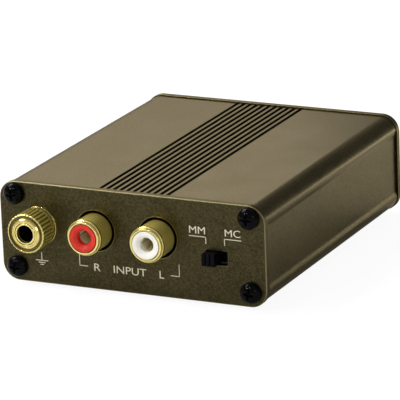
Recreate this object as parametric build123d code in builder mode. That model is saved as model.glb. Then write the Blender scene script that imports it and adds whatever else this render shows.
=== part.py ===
# Phono preamp: an extruded aluminium case closed by two screwed end plates, with a circuit
# board that slides into the case and carries the jacks, the slide switch and the DC socket.
# Millimetres. +X is right and +Z is up as seen from the front, +Y runs to the back.
# The origin is on the surface that the feet stand on, under the middle of the overall box.

import os
from math import sqrt

from build123d import *

os.makedirs("parts", exist_ok=True)

# Case
case_width = 64.5
case_height = 23.0
case_length = 75.5  # over both end plates
corner_radius = 4.0
plate_thickness = 1.5
plate_chamfer = 0.2
hole_chamfer = 0.15
shell_inset = 0.3  # the shell's top and bottom stand this far inside the end plates' outline
shell_side_inset = 0.1  # and its sides this far
top_wall = 2.0
bottom_wall = 1.5
side_wall = 2.1
recess_depth = 0.4
recess_bottom = 4.25  # middle of the lower slope, over the plates' lower edge
recess_top_inset = 4.25  # middle of the upper slope, under the plates' upper edge
recess_slope = 1.3
recess_blend = 2.0
groove_count = 11
groove_pitch = 1.625
groove_mouth = 0.86
groove_floor = 0.7
groove_depth = 0.8

# Case screws
screw_inset_x = 3.75
screw_low_inset = 3.35  # the lower screws' axes over the plates' lower edge
screw_high_inset = 2.85  # the upper screws' axes under the plates' upper edge
screw_diameter = 2.5
screw_length = 8.0
screw_head_diameter = 4.8
screw_head_height = 1.9
screw_head_side = 0.5
screw_bore_gap = 0.05
screw_hole_gap = 0.15
screw_boss_wall = 0.9
cross_length = 2.6
cross_width = 0.6
cross_depth = 1.0

# Feet
foot_diameter = 8.0
foot_lift = 1.2  # height of the plates' lower edge over the surface
foot_inset_x = 9.0
foot_inset_y = 9.0
foot_round = 0.3

# Circuit board and the rails that hold it
board_thickness = 1.6
board_gap = 0.15  # between the lower screw channels and the board's underside
board_side_gap = 0.25
board_end_gap = 0.4
rail_depth = 1.3
rail_thickness = 0.7
rail_gap = 0.1
lead_reach = 0.8  # how far a lead comes out under the board
lead_gap = 0.1  # round a lead in its hole

# Phono jacks
jack_sink = 0.5  # the axis below the middle of the room over the board
jack_pitch = 15.2
input_middle = -1.2
output_middle = -6.0
jack_reach = 6.05
jack_bead_radius = 4.15
jack_bead_length = 0.9
jack_bead_round = 0.6
jack_barrel_radius = 4.0
jack_bore_radius = 3.3
jack_seat_depth = 2.0
jack_hole_radius = 4.65
jack_setback = 1.7  # from the plate's inner face to the housing
jack_body_width = 10.4
jack_body_depth = 9.5
jack_body_wall = 1.15  # over the shell's seat
insert_radius = 3.15
insert_rim = 2.45
insert_dish = 0.9
pin_hole_radius = 1.65
pin_hole_length = 1.0
contact_wall = 0.45
contact_length = 12.0
contact_end = 0.6
contact_stem_radius = 0.6
insert_tail = 1.0
fit_gap = 0.05
clip_thickness = 0.3
clip_width = 0.85
clip_leg_width = 1.6
tail_width = 1.2
tail_thickness = 0.5

# Ground terminal
ground_inset = 9.5
ground_axis_height = 13.25
ground_reach = 6.6
ground_flange_thickness = 0.5
ground_flange_radius = 4.5
post_radius = 2.5
post_chamfer = 0.2
post_end = 1.4  # solid end behind the banana bore
banana_radius = 2.0
banana_depth = 12.0
post_hole_gap = 0.1
clamp_washer_thickness = 0.5
clamp_washer_radius = 4.45
nut_radius = 4.5
nut_rim = 0.35
nut_edge = 0.25
nut_ring_inner = 3.45
nut_ring_outer = 4.2
nut_ring_depth = 0.8
nut_score_radius = 2.95
nut_score_width = 0.14
nut_score_depth = 0.12
knurl_count = 32
knurl_width = 0.5
knurl_depth = 0.28
lock_washer_radius = 4.5
lock_washer_thickness = 0.6
lock_washer_teeth = 12
lock_washer_notch = 0.6
solder_tag_radius = 4.3
solder_tag_thickness = 0.5
solder_tag_leg = 3.0
hex_nut_width = 8.0
hex_nut_thickness = 2.8

# Slide switch
switch_inset = 11.75
switch_rise = 3.1  # axis over the board
switch_travel = 2.0
knob_width = 3.1
knob_height = 2.8
knob_reach = 2.5
knob_round = 0.2
knob_groove_count = 2
knob_groove_pitch = 1.03
knob_groove_width = 0.36
knob_groove_depth = 0.3
slot_end_gap = 0.1
slot_side_gap = 0.25
switch_setback = 0.5
switch_frame_width = 10.8
switch_frame_depth = 5.0
switch_sheet = 0.3
switch_leg_width = 1.2
stem_gap = 0.05
stem_side_gap = 0.15
carriage_width = 7.6
carriage_thickness = 1.6
carriage_gap = 0.1
switch_base_thickness = 1.4
switch_pole_spacing = 3.0
switch_contact_width = 0.8
rivet_height = 0.3
switch_pin = 0.6
switch_pin_row = 1.2
switch_pin_step = 2.0

# DC socket
socket_inset = 12.25  # from the right edge, seen from behind
socket_rise = 5.7  # axis over the board
socket_collar_radius = 4.0
socket_collar_gap = 0.15
socket_collar_sink = 0.2
socket_setback = 0.3
socket_body_width = 9.2
socket_body_depth = 13.0
socket_body_crown = 4.8
socket_bore_radius = 3.15
socket_bore_depth = 9.5
socket_pin_radius = 1.05
socket_pin_sink = 1.3
socket_pin_round = 0.4
socket_tail_rise = 0.5  # the pin's tail starts this far above the axis
spring_width = 3.0
spring_thickness = 0.3
spring_channel = 0.9
spring_leg_back = 3.0

# Power lamp
lamp_inset = 7.75  # from the left edge, seen from behind
lamp_radius = 1.5
lamp_reach = 1.4
lamp_flange_radius = 1.9
lamp_flange_thickness = 0.8
lamp_tail = 1.6
lamp_lead = 0.5
lamp_lead_spacing = 2.0
lamp_lead_back = 1.5

# Components on the board, placed from the board's middle
column_room = 11.05  # kept for the tall parts along each side of the rows
film_columns = 4
film_rows = 2
film_pitch_y = 4.2
film_row_y = -14.5
film_length = 7.2
film_breadth = 2.6
film_height = 6.5
film_round = 0.35
resistor_count = 11
resistor_inset = 2.6  # from the rows' end to the last resistor's axis
resistor_row_y = -6.0
resistor_length = 6.2
resistor_radius = 1.15
resistor_waist = 0.95
resistor_cap = 1.3
resistor_lead_radius = 0.3
resistor_span = 8.6
chip_inset = 5.2  # from the rows' end to a chip
chip_row_y = 3.5
chip_length = 9.8
chip_breadth = 6.4
chip_height = 3.3
chip_lift = 0.5
chip_notch_radius = 0.8
chip_notch_depth = 0.5
chip_pins = 4
chip_pin_pitch = 2.54
chip_leg_width = 0.5
chip_leg_thickness = 0.25
chip_leg_gap = 0.35
coupling_count = 4
coupling_inset = 1.95  # from the rows' end to the last capacitor
coupling_row_y = 14.0
coupling_diameter = 6.3
coupling_headroom = 2.4  # under the case's ceiling
supply_spacing = 10.5
supply_wall_gap = 4.15
supply_column_y = 2.0
supply_diameter = 8.0
supply_headroom = 1.9
can_round = 0.4
can_bead_height = 1.6
can_bead_depth = 0.3
regulator_wall_gap = 2.25
regulator_spacing = 9.0
regulator_column_y = 7.0
regulator_radius = 2.4
regulator_flat = 1.2
regulator_height = 4.6
regulator_lift = 2.0
regulator_leg = 0.45
regulator_leg_pitch = 1.27
choke_wall_gap = 2.15
choke_y = -12.5
choke_radius = 4.0
choke_height = 7.0
choke_flange = 1.2
choke_core_radius = 2.0
choke_winding_radius = 3.6

# Datums. A name that ends in _height is measured over the end plates' lower edge
front_reach = max(ground_reach, jack_reach, knob_reach)
front_y = (front_reach - jack_reach - case_length) / 2
rear_y = front_y + case_length
shell_front = front_y + plate_thickness
shell_rear = rear_y - plate_thickness
case_bottom = foot_lift
case_middle = case_bottom + case_height / 2
shell_bottom = case_bottom + shell_inset
shell_top = case_bottom + case_height - shell_inset
ceiling_height = case_height - shell_inset - top_wall
screw_boss_radius = screw_diameter / 2 + screw_bore_gap + screw_boss_wall
board_height = screw_low_inset + screw_boss_radius + board_gap + board_thickness
board_top = case_bottom + board_height
board_bottom = board_top - board_thickness
lead_end = board_bottom - lead_reach
board_front = shell_front + board_end_gap
board_rear = shell_rear - board_end_gap
board_middle = (board_front + board_rear) / 2
shell_half_width = case_width / 2 - shell_side_inset
recess_floor = shell_half_width - recess_depth
cavity_half_width = recess_floor - side_wall
board_half_width = cavity_half_width - board_side_gap
screw_x = case_width / 2 - screw_inset_x
screw_corners = [
    (side * screw_x, height)
    for side in (-1, 1)
    for height in (case_bottom + screw_low_inset, case_bottom + case_height - screw_high_inset)
]
ground_offset = ground_inset - case_width / 2
switch_offset = case_width / 2 - switch_inset
switch_axis_height = board_height + switch_rise
socket_offset = case_width / 2 - socket_inset
socket_axis_height = board_height + socket_rise
jack_axis_height = (board_height + ceiling_height) / 2 - jack_sink
lamp_offset = lamp_inset - case_width / 2
lamp_axis_height = jack_axis_height

front_panel = Plane((0, front_y, 0), x_dir=(1, 0, 0), z_dir=(0, -1, 0))
rear_panel = Plane((0, rear_y, 0), x_dir=(-1, 0, 0), z_dir=(0, 1, 0))


def spot_on(panel, across, height):
    """A plane at a place on a panel's outer face, its z pointing out of the case."""
    return Plane(panel.from_local_coords((across, height, 0)), x_dir=panel.x_dir, z_dir=panel.z_dir)


def axis_of(spot):
    return Axis(spot.origin, spot.z_dir)


def turned_profile(spot, corners):
    """A closed outline of (radius, outward distance) corners beside the spot's axis."""
    with BuildSketch(Plane(spot.origin, x_dir=spot.x_dir, z_dir=-spot.y_dir)) as profile:
        with BuildLine():
            Polyline(*corners, close=True)
        make_face()
    return profile.sketch


def rectangle_between(plane, left, right, bottom, top):
    with BuildSketch(plane) as face:
        with Locations(((left + right) / 2, (bottom + top) / 2)):
            Rectangle(right - left, top - bottom)
    return face.sketch


def save(builder, name):
    builder.part.label = name
    export_step(builder.part, f"parts/{name}.step")


# Extruded shell: a rounded tube with grooves along its top, a shallow recess in each side,
# rails for the board and a screw channel in each corner
slot_bottom = board_bottom - rail_gap
slot_top = board_top + rail_gap
recess_low = case_bottom + recess_bottom
recess_high = case_bottom + case_height - recess_top_inset
with BuildPart() as extrusion_shell:
    with BuildSketch(Plane.XZ.offset(-shell_front)) as shell_section:
        with Locations((0, case_middle)):
            RectangleRounded(2 * shell_half_width, shell_top - shell_bottom, corner_radius - shell_inset)
        for side in (-1, 1):
            with BuildLine():
                Polyline(
                    (side * shell_half_width, recess_low - recess_slope / 2),
                    (side * recess_floor, recess_low + recess_slope / 2),
                    (side * recess_floor, recess_high - recess_slope / 2),
                    (side * shell_half_width, recess_high + recess_slope / 2),
                    close=True,
                )
            make_face(mode=Mode.SUBTRACT)
        slope_ends = vertices().filter_by(
            lambda corner: recess_low - recess_slope < corner.Y < recess_high + recess_slope
        )
        fillet(slope_ends, recess_blend)
        with Locations((0, shell_top - groove_depth)):
            with GridLocations(groove_pitch, 1, groove_count, 1):
                Polygon(
                    (-groove_floor / 2, 0),
                    (groove_floor / 2, 0),
                    (groove_mouth / 2, groove_depth),
                    (-groove_mouth / 2, groove_depth),
                    align=None,
                    mode=Mode.SUBTRACT,
                )
        with Locations((0, (shell_bottom + bottom_wall + shell_top - top_wall) / 2)):
            Rectangle(
                2 * cavity_half_width,
                shell_top - top_wall - shell_bottom - bottom_wall,
                mode=Mode.SUBTRACT,
            )
        with Locations(*screw_corners):
            Circle(screw_boss_radius)
        for side in (-1, 1):
            rail_middle = side * (cavity_half_width - rail_depth / 2)
            with Locations(
                (rail_middle, slot_bottom - rail_thickness / 2),
                (rail_middle, slot_top + rail_thickness / 2),
            ):
                Rectangle(rail_depth, rail_thickness)
            with Locations((rail_middle, (slot_bottom + slot_top) / 2)):
                Rectangle(rail_depth, slot_top - slot_bottom, mode=Mode.SUBTRACT)
        with Locations(*screw_corners):
            Circle(screw_diameter / 2 + screw_bore_gap, mode=Mode.SUBTRACT)
    extrude(amount=shell_front - shell_rear)
save(extrusion_shell, "extrusion_shell")

# Places on the two panels
ground_spot = spot_on(front_panel, ground_offset, case_bottom + ground_axis_height)
switch_spot = spot_on(front_panel, switch_offset, case_bottom + switch_axis_height)
socket_spot = spot_on(rear_panel, socket_offset, case_bottom + socket_axis_height)
lamp_spot = spot_on(rear_panel, lamp_offset, case_bottom + lamp_axis_height)
jack_height = case_bottom + jack_axis_height
jack_spots = {
    "input_right": spot_on(front_panel, input_middle - jack_pitch / 2, jack_height),
    "input_left": spot_on(front_panel, input_middle + jack_pitch / 2, jack_height),
    "output_right": spot_on(rear_panel, output_middle - jack_pitch / 2, jack_height),
    "output_left": spot_on(rear_panel, output_middle + jack_pitch / 2, jack_height),
}
slot_width = knob_width + switch_travel + 2 * slot_end_gap
slot_height = knob_height + 2 * slot_side_gap
right_angle = 90


def plate_blank(panel):
    """An end plate's rounded outline, chamfered round its outer face, with its screw holes."""
    with BuildPart() as blank:
        with BuildSketch(panel):
            with Locations((0, case_middle)):
                RectangleRounded(case_width, case_height, corner_radius)
        extrude(amount=-plate_thickness)
        chamfer(blank.faces().sort_by(axis_of(panel))[-1].edges(), plate_chamfer)
        for across, height in screw_corners:
            with Locations(spot_on(panel, across, height)):
                Hole(screw_diameter / 2 + screw_hole_gap, plate_thickness)
    return blank.part


# Front plate
with BuildPart() as front_plate:
    add(plate_blank(front_panel))
    with Locations(jack_spots["input_right"], jack_spots["input_left"]):
        CounterSinkHole(jack_hole_radius, jack_hole_radius + hole_chamfer, plate_thickness, right_angle)
    with Locations(ground_spot):
        Hole(post_radius + post_hole_gap, plate_thickness)
    with BuildSketch(switch_spot):
        Rectangle(slot_width, slot_height)
    extrude(amount=-plate_thickness, mode=Mode.SUBTRACT)
save(front_plate, "front_plate")

# Rear plate
with BuildPart() as rear_plate:
    add(plate_blank(rear_panel))
    with Locations(jack_spots["output_right"], jack_spots["output_left"]):
        CounterSinkHole(jack_hole_radius, jack_hole_radius + hole_chamfer, plate_thickness, right_angle)
    with Locations(socket_spot):
        Hole(socket_collar_radius + socket_collar_gap, plate_thickness)
    with Locations(lamp_spot):
        Hole(lamp_radius + fit_gap, plate_thickness)
save(rear_plate, "rear_plate")

# Case screws: domed heads with a cross recess, four at each end
for name, panel in (("front_screws", front_panel), ("rear_screws", rear_panel)):
    with BuildPart() as screws:
        for across, height in screw_corners:
            spot = spot_on(panel, across, height)
            with BuildSketch(Plane(spot.origin, x_dir=spot.x_dir, z_dir=-spot.y_dir)):
                with BuildLine():
                    Polyline(
                        (0, screw_head_height),
                        (0, -screw_length),
                        (screw_diameter / 2, -screw_length),
                        (screw_diameter / 2, 0),
                        (screw_head_diameter / 2, 0),
                        (screw_head_diameter / 2, screw_head_side),
                    )
                    EllipticalCenterArc(
                        (0, screw_head_side),
                        screw_head_diameter / 2,
                        screw_head_height - screw_head_side,
                        start_angle=0,
                        arc_size=90,
                    )
                make_face()
            revolve(axis=axis_of(spot))
            with BuildSketch(spot.offset(screw_head_height)):
                Rectangle(cross_length, cross_width)
                Rectangle(cross_width, cross_length)
            extrude(amount=-cross_depth, mode=Mode.SUBTRACT)
    save(screws, name)

# Rubber feet under the shell
foot_x = case_width / 2 - foot_inset_x
foot_y = (shell_rear - shell_front) / 2 - foot_inset_y
with BuildPart() as rubber_feet:
    with BuildSketch():
        with Locations((0, (shell_front + shell_rear) / 2)):
            with GridLocations(2 * foot_x, 2 * foot_y, 2, 2):
                Circle(foot_diameter / 2)
    extrude(amount=shell_bottom)
    fillet(rubber_feet.edges().group_by(Axis.Z)[0], foot_round)
save(rubber_feet, "rubber_feet")

# Phono jacks: a plated shell with a beaded nose, a coloured insert, a sprung centre contact,
# a ground clip round the shell and a housing that stands on the board
housing_face = -(plate_thickness + jack_setback)
housing_back = housing_face - jack_body_depth
contact_radius = pin_hole_radius + contact_wall
contact_front = jack_reach - insert_dish - pin_hole_length - fit_gap
contact_back = contact_front - contact_length
insert_back = contact_back - contact_end - insert_tail
board_drop = board_top - jack_height  # board's top face below a jack's axis
tail_drop = lead_end - jack_height
jack_body_crown = jack_barrel_radius + fit_gap + jack_body_wall
for name, spot in jack_spots.items():
    with BuildPart() as shell:
        profile = turned_profile(
            spot,
            [
                (jack_bore_radius, housing_face - jack_seat_depth),
                (jack_barrel_radius, housing_face - jack_seat_depth),
                (jack_barrel_radius, jack_reach - jack_bead_length),
                (jack_bead_radius, jack_reach - jack_bead_length),
                (jack_bead_radius, jack_reach),
                (jack_bore_radius, jack_reach),
            ],
        )
        revolve(profile, axis=axis_of(spot))
        nose_edge = shell.edges().filter_by(GeomType.CIRCLE).sort_by(axis_of(spot))[-2:]
        fillet(nose_edge.sort_by(SortBy.RADIUS)[-1], jack_bead_round)
    save(shell, f"{name}_shell")

    with BuildPart() as insert:
        profile = turned_profile(
            spot,
            [
                (insert_radius, insert_back),
                (insert_radius, jack_reach),
                (insert_rim, jack_reach),
                (pin_hole_radius, jack_reach - insert_dish),
                (pin_hole_radius, jack_reach - insert_dish - pin_hole_length),
                (contact_radius + fit_gap, jack_reach - insert_dish - pin_hole_length),
                (contact_radius + fit_gap, insert_back),
            ],
        )
        revolve(profile, axis=axis_of(spot))
    save(insert, f"{name}_insert")

    with BuildPart() as contact:
        profile = turned_profile(
            spot,
            [
                (pin_hole_radius, contact_front),
                (pin_hole_radius, contact_back),
                (0, contact_back),
                (0, housing_back - tail_thickness),
                (contact_stem_radius, housing_back - tail_thickness),
                (contact_stem_radius, contact_back - contact_end),
                (contact_radius, contact_back - contact_end),
                (contact_radius, contact_front),
            ],
        )
        revolve(profile, axis=axis_of(spot))
        tail_plane = spot.offset(housing_back)
        extrude(
            rectangle_between(tail_plane, -tail_width / 2, tail_width / 2, tail_drop, contact_stem_radius),
            amount=-tail_thickness,
        )
    save(contact, f"{name}_contact")

    with BuildPart() as clip:
        clip_plane = spot.offset(housing_face)
        with BuildSketch(clip_plane):
            Circle(jack_barrel_radius + fit_gap + clip_width)
            with Locations((0, (tail_drop - jack_barrel_radius) / 2)):
                Rectangle(clip_leg_width, -tail_drop - jack_barrel_radius)
            Circle(jack_barrel_radius + fit_gap, mode=Mode.SUBTRACT)
        extrude(amount=clip_thickness)
    save(clip, f"{name}_ground_clip")

    with BuildPart() as housing:
        face = rectangle_between(
            spot.offset(housing_face),
            -jack_body_width / 2,
            jack_body_width / 2,
            board_drop,
            jack_body_crown,
        )
        extrude(face, amount=-jack_body_depth)
        profile = turned_profile(
            spot,
            [
                (0, housing_face),
                (jack_barrel_radius + fit_gap, housing_face),
                (jack_barrel_radius + fit_gap, housing_face - jack_seat_depth),
                (insert_radius + fit_gap, housing_face - jack_seat_depth),
                (insert_radius + fit_gap, insert_back),
                (contact_stem_radius + fit_gap, insert_back),
                (contact_stem_radius + fit_gap, housing_back),
                (0, housing_back),
            ],
        )
        revolve(profile, axis=axis_of(spot), mode=Mode.SUBTRACT)
    save(housing, f"{name}_housing")

# Ground terminal: a hollow post with a flange, held behind the plate by a lock washer and a
# hex nut that also clamps the solder tag; a washer and a knurled nut run on its front thread
washer_face = ground_flange_thickness + clamp_washer_thickness
post_tail = banana_depth - ground_reach + post_end  # behind the plate's outer face
with BuildPart() as ground_post:
    profile = turned_profile(
        ground_spot,
        [
            (0, -post_tail),
            (post_radius, -post_tail),
            (post_radius, 0),
            (ground_flange_radius, 0),
            (ground_flange_radius, ground_flange_thickness),
            (post_radius, ground_flange_thickness),
            (post_radius, ground_reach - post_chamfer),
            (post_radius - post_chamfer, ground_reach),
            (banana_radius, ground_reach),
            (banana_radius, ground_reach - banana_depth),
            (0, ground_reach - banana_depth),
        ],
    )
    revolve(profile, axis=axis_of(ground_spot))
save(ground_post, "ground_post")

with BuildPart() as ground_washer:
    with BuildSketch(ground_spot.offset(ground_flange_thickness)):
        Circle(clamp_washer_radius)
        Circle(post_radius + fit_gap, mode=Mode.SUBTRACT)
    extrude(amount=clamp_washer_thickness)
save(ground_washer, "ground_washer")

with BuildPart() as ground_thumb_nut:
    profile = turned_profile(
        ground_spot,
        [
            (post_radius + fit_gap, washer_face),
            (nut_radius, washer_face),
            (nut_radius, ground_reach - nut_edge),
            (nut_radius - nut_edge, ground_reach),
            (nut_ring_outer, ground_reach),
            (nut_ring_outer, ground_reach - nut_ring_depth),
            (nut_ring_inner, ground_reach - nut_ring_depth),
            (nut_ring_inner, ground_reach),
            (nut_score_radius + nut_score_width / 2, ground_reach),
            (nut_score_radius, ground_reach - nut_score_depth),
            (nut_score_radius - nut_score_width / 2, ground_reach),
            (post_radius + fit_gap, ground_reach),
        ],
    )
    revolve(profile, axis=axis_of(ground_spot))
    with BuildSketch(ground_spot.offset(washer_face + nut_rim)):
        with PolarLocations(nut_radius, knurl_count):
            Polygon(
                (nut_edge, -knurl_width),
                (nut_edge, knurl_width),
                (0, knurl_width / 2),
                (-knurl_depth, 0),
                (0, -knurl_width / 2),
                align=None,
            )
    extrude(amount=ground_reach - washer_face, mode=Mode.SUBTRACT)
save(ground_thumb_nut, "ground_thumb_nut")

with BuildPart() as ground_lock_washer:
    with BuildSketch(ground_spot.offset(-plate_thickness)):
        Circle(lock_washer_radius)
        with PolarLocations(lock_washer_radius, lock_washer_teeth):
            Rectangle(2 * lock_washer_notch, lock_washer_notch, mode=Mode.SUBTRACT)
        Circle(post_radius + fit_gap, mode=Mode.SUBTRACT)
    extrude(amount=-lock_washer_thickness)
save(ground_lock_washer, "ground_lock_washer")

ground_drop = lead_end - case_bottom - ground_axis_height
tag_face = -plate_thickness - lock_washer_thickness
with BuildPart() as ground_solder_tag:
    with BuildSketch(ground_spot.offset(tag_face)):
        Circle(solder_tag_radius)
        with Locations((0, (ground_drop - post_radius) / 2)):
            Rectangle(solder_tag_leg, -ground_drop - post_radius)
        Circle(post_radius + fit_gap, mode=Mode.SUBTRACT)
    extrude(amount=-solder_tag_thickness)
save(ground_solder_tag, "ground_solder_tag")

hex_face = tag_face - solder_tag_thickness
with BuildPart() as ground_hex_nut:
    with BuildSketch(ground_spot.offset(hex_face)):
        RegularPolygon(hex_nut_width / 2, side_count=6, major_radius=False)
        Circle(post_radius + fit_gap, mode=Mode.SUBTRACT)
    extrude(amount=-hex_nut_thickness)
save(ground_hex_nut, "ground_hex_nut")

# Slide switch: a sheet frame that stands on the board, a knob whose carriage slides in it,
# two bridging contacts under the carriage, and a base with two rows of riveted terminals
switch_half_height = switch_axis_height - board_height
frame_face = -(plate_thickness + switch_setback)
frame_back = frame_face - switch_frame_depth
frame_half_width = switch_frame_width / 2
carriage_face = frame_face - switch_sheet - carriage_gap / 2
carriage_back = carriage_face - carriage_thickness
base_face = frame_back + switch_base_thickness
rivet_face = base_face + rivet_height
switch_drop = lead_end - case_bottom - switch_axis_height
knob_rest = -switch_travel / 2
with BuildPart() as switch_frame:
    outer = rectangle_between(
        switch_spot.offset(frame_face),
        -frame_half_width,
        frame_half_width,
        -switch_half_height,
        switch_half_height,
    )
    extrude(outer, amount=-switch_frame_depth)
    inner = rectangle_between(
        switch_spot.offset(frame_face - switch_sheet),
        switch_sheet - frame_half_width,
        frame_half_width - switch_sheet,
        switch_sheet - switch_half_height,
        switch_half_height - switch_sheet,
    )
    extrude(inner, amount=switch_sheet - switch_frame_depth, mode=Mode.SUBTRACT)
    with BuildSketch(switch_spot.offset(frame_face)):
        Rectangle(knob_width + switch_travel + 2 * stem_gap, knob_height + 2 * stem_side_gap)
    extrude(amount=-switch_sheet, mode=Mode.SUBTRACT)
    for side in (-1, 1):
        edges_u = sorted((side * frame_half_width, side * (frame_half_width - switch_sheet)))
        leg = rectangle_between(
            switch_spot.offset((frame_face + frame_back + switch_leg_width) / 2),
            *edges_u,
            switch_drop,
            -switch_half_height,
        )
        extrude(leg, amount=-switch_leg_width)
save(switch_frame, "switch_frame")

with BuildPart() as switch_knob:
    carriage_half_height = switch_half_height - switch_sheet - carriage_gap
    carriage = rectangle_between(
        switch_spot.offset(carriage_face),
        knob_rest - carriage_width / 2,
        knob_rest + carriage_width / 2,
        -carriage_half_height,
        carriage_half_height,
    )
    extrude(carriage, amount=-carriage_thickness)
    stem = rectangle_between(
        switch_spot.offset(carriage_face),
        knob_rest - knob_width / 2,
        knob_rest + knob_width / 2,
        -knob_height / 2,
        knob_height / 2,
    )
    extrude(stem, amount=knob_reach - carriage_face)
    fillet(switch_knob.faces().sort_by(axis_of(switch_spot))[-1].edges(), knob_round)
    with BuildSketch(switch_spot.offset(knob_reach)):
        with Locations((knob_rest, 0)):
            with GridLocations(knob_groove_pitch, 1, knob_groove_count, 1):
                Rectangle(knob_groove_width, knob_height)
    extrude(amount=-knob_groove_depth, mode=Mode.SUBTRACT)
save(switch_knob, "switch_knob")

with BuildPart() as switch_bridges:
    with BuildSketch(switch_spot.offset(carriage_back)):
        with Locations((knob_rest, 0)):
            with GridLocations(1, switch_pole_spacing, 1, 2):
                Rectangle(switch_travel + switch_contact_width, switch_contact_width)
    extrude(amount=rivet_face + fit_gap - carriage_back)
save(switch_bridges, "switch_bridges")

with BuildPart() as switch_base:
    with BuildSketch(switch_spot.offset(base_face)):
        Rectangle(
            2 * (frame_half_width - switch_sheet - fit_gap),
            2 * (switch_half_height - switch_sheet - fit_gap),
        )
        with GridLocations(switch_travel, switch_pole_spacing, 3, 2):
            Rectangle(switch_pin + 2 * fit_gap, switch_pin + 2 * fit_gap, mode=Mode.SUBTRACT)
    extrude(amount=-switch_base_thickness)
save(switch_base, "switch_base")

with BuildPart() as switch_terminals:
    with BuildSketch(switch_spot.offset(base_face)):
        with GridLocations(switch_travel, switch_pole_spacing, 3, 2):
            Rectangle(switch_contact_width, switch_contact_width)
    extrude(amount=rivet_height)
    for row, back in ((-1, switch_pin_row), (1, switch_pin_row + switch_pin_step)):
        row_height = row * switch_pole_spacing / 2
        for column in (-1, 0, 1):
            left = column * switch_travel - switch_pin / 2
            right = column * switch_travel + switch_pin / 2
            run = rectangle_between(
                switch_spot.offset(base_face),
                left,
                right,
                row_height - switch_pin / 2,
                row_height + switch_pin / 2,
            )
            extrude(run, amount=frame_back - back - base_face)
            drop = rectangle_between(
                switch_spot.offset(frame_back - back + switch_pin),
                left,
                right,
                switch_drop,
                row_height + switch_pin / 2,
            )
            extrude(drop, amount=-switch_pin)
save(switch_terminals, "switch_terminals")

# DC socket: a housing with a collar in the rear plate, a centre pin and a leaf spring
socket_face = -(plate_thickness + socket_setback)
socket_back = socket_face - socket_body_depth
socket_drop = board_height - socket_axis_height
socket_tail_drop = lead_end - case_bottom - socket_axis_height
bore_back = -socket_collar_sink - socket_bore_depth
spring_top = -socket_bore_radius - spring_thickness
channel_floor = -socket_bore_radius - spring_channel
spring_leg_face = bore_back + spring_leg_back
with BuildPart() as socket_housing:
    block = rectangle_between(
        socket_spot.offset(socket_face),
        -socket_body_width / 2,
        socket_body_width / 2,
        socket_drop,
        socket_body_crown,
    )
    extrude(block, amount=-socket_body_depth)
    with BuildSketch(socket_spot.offset(socket_face)):
        Circle(socket_collar_radius)
    extrude(amount=-socket_collar_sink - socket_face)
    with BuildSketch(socket_spot.offset(-socket_collar_sink)):
        Circle(socket_bore_radius)
    extrude(amount=-socket_bore_depth, mode=Mode.SUBTRACT)
    with BuildSketch(socket_spot.offset(bore_back)):
        Circle(socket_pin_radius + fit_gap)
    extrude(amount=socket_back - bore_back, mode=Mode.SUBTRACT)
    channel = rectangle_between(
        socket_spot.offset(socket_face),
        -spring_width / 2 - fit_gap,
        spring_width / 2 + fit_gap,
        channel_floor,
        0,
    )
    extrude(channel, amount=bore_back - socket_face, mode=Mode.SUBTRACT)
    leg_way = rectangle_between(
        socket_spot.offset(spring_leg_face + fit_gap),
        -spring_width / 2 - fit_gap,
        spring_width / 2 + fit_gap,
        socket_drop,
        channel_floor,
    )
    extrude(leg_way, amount=-spring_thickness - 2 * fit_gap, mode=Mode.SUBTRACT)
save(socket_housing, "dc_socket_housing")

with BuildPart() as socket_pin:
    with BuildSketch(socket_spot.offset(-socket_pin_sink)):
        Circle(socket_pin_radius)
    extrude(amount=socket_back - tail_thickness + socket_pin_sink)
    fillet(socket_pin.edges().sort_by(axis_of(socket_spot))[-1], socket_pin_round)
    pin_tail = rectangle_between(
        socket_spot.offset(socket_back),
        -tail_width / 2,
        tail_width / 2,
        socket_tail_drop,
        socket_tail_rise,
    )
    extrude(pin_tail, amount=-tail_thickness)
save(socket_pin, "dc_socket_pin")

with BuildPart() as socket_spring:
    leaf = rectangle_between(
        socket_spot.offset(socket_face - fit_gap),
        -spring_width / 2,
        spring_width / 2,
        spring_top - spring_thickness,
        spring_top,
    )
    extrude(leaf, amount=bore_back - socket_face + 2 * fit_gap)
    leg = rectangle_between(
        socket_spot.offset(spring_leg_face),
        -spring_width / 2,
        spring_width / 2,
        socket_tail_drop,
        spring_top,
    )
    extrude(leg, amount=-spring_thickness)
save(socket_spring, "dc_socket_spring")

# Power lamp: a round-nosed lens behind the rear plate, on two bent leads
lamp_drop = lead_end - case_bottom - lamp_axis_height
flange_back = -plate_thickness - lamp_flange_thickness
lamp_back = flange_back - lamp_tail
lamp_lead_face = lamp_back - lamp_lead_back + lamp_lead
with BuildPart() as power_lamp:
    with BuildSketch(Plane(lamp_spot.origin, x_dir=lamp_spot.x_dir, z_dir=-lamp_spot.y_dir)):
        with BuildLine():
            Polyline(
                (0, lamp_reach),
                (0, lamp_back),
                (lamp_radius, lamp_back),
                (lamp_radius, flange_back),
                (lamp_flange_radius, flange_back),
                (lamp_flange_radius, -plate_thickness),
                (lamp_radius, -plate_thickness),
                (lamp_radius, lamp_reach - lamp_radius),
            )
            CenterArc((0, lamp_reach - lamp_radius), lamp_radius, 0, 90)
        make_face()
    revolve(axis=axis_of(lamp_spot))
save(power_lamp, "power_lamp")

with BuildPart() as lamp_leads:
    for side in (-1, 1):
        left = side * lamp_lead_spacing / 2 - lamp_lead / 2
        right = side * lamp_lead_spacing / 2 + lamp_lead / 2
        run = rectangle_between(lamp_spot.offset(lamp_back), left, right, -lamp_lead / 2, lamp_lead / 2)
        extrude(run, amount=-lamp_lead_back)
        drop = rectangle_between(lamp_spot.offset(lamp_lead_face), left, right, lamp_drop, lamp_lead / 2)
        extrude(drop, amount=-lamp_lead)
save(lamp_leads, "power_lamp_leads")

# Components on the board
on_board = Plane((0, board_middle, board_top))
under_board = lead_end - board_top
field_width = 2 * (cavity_half_width - column_room)

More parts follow.
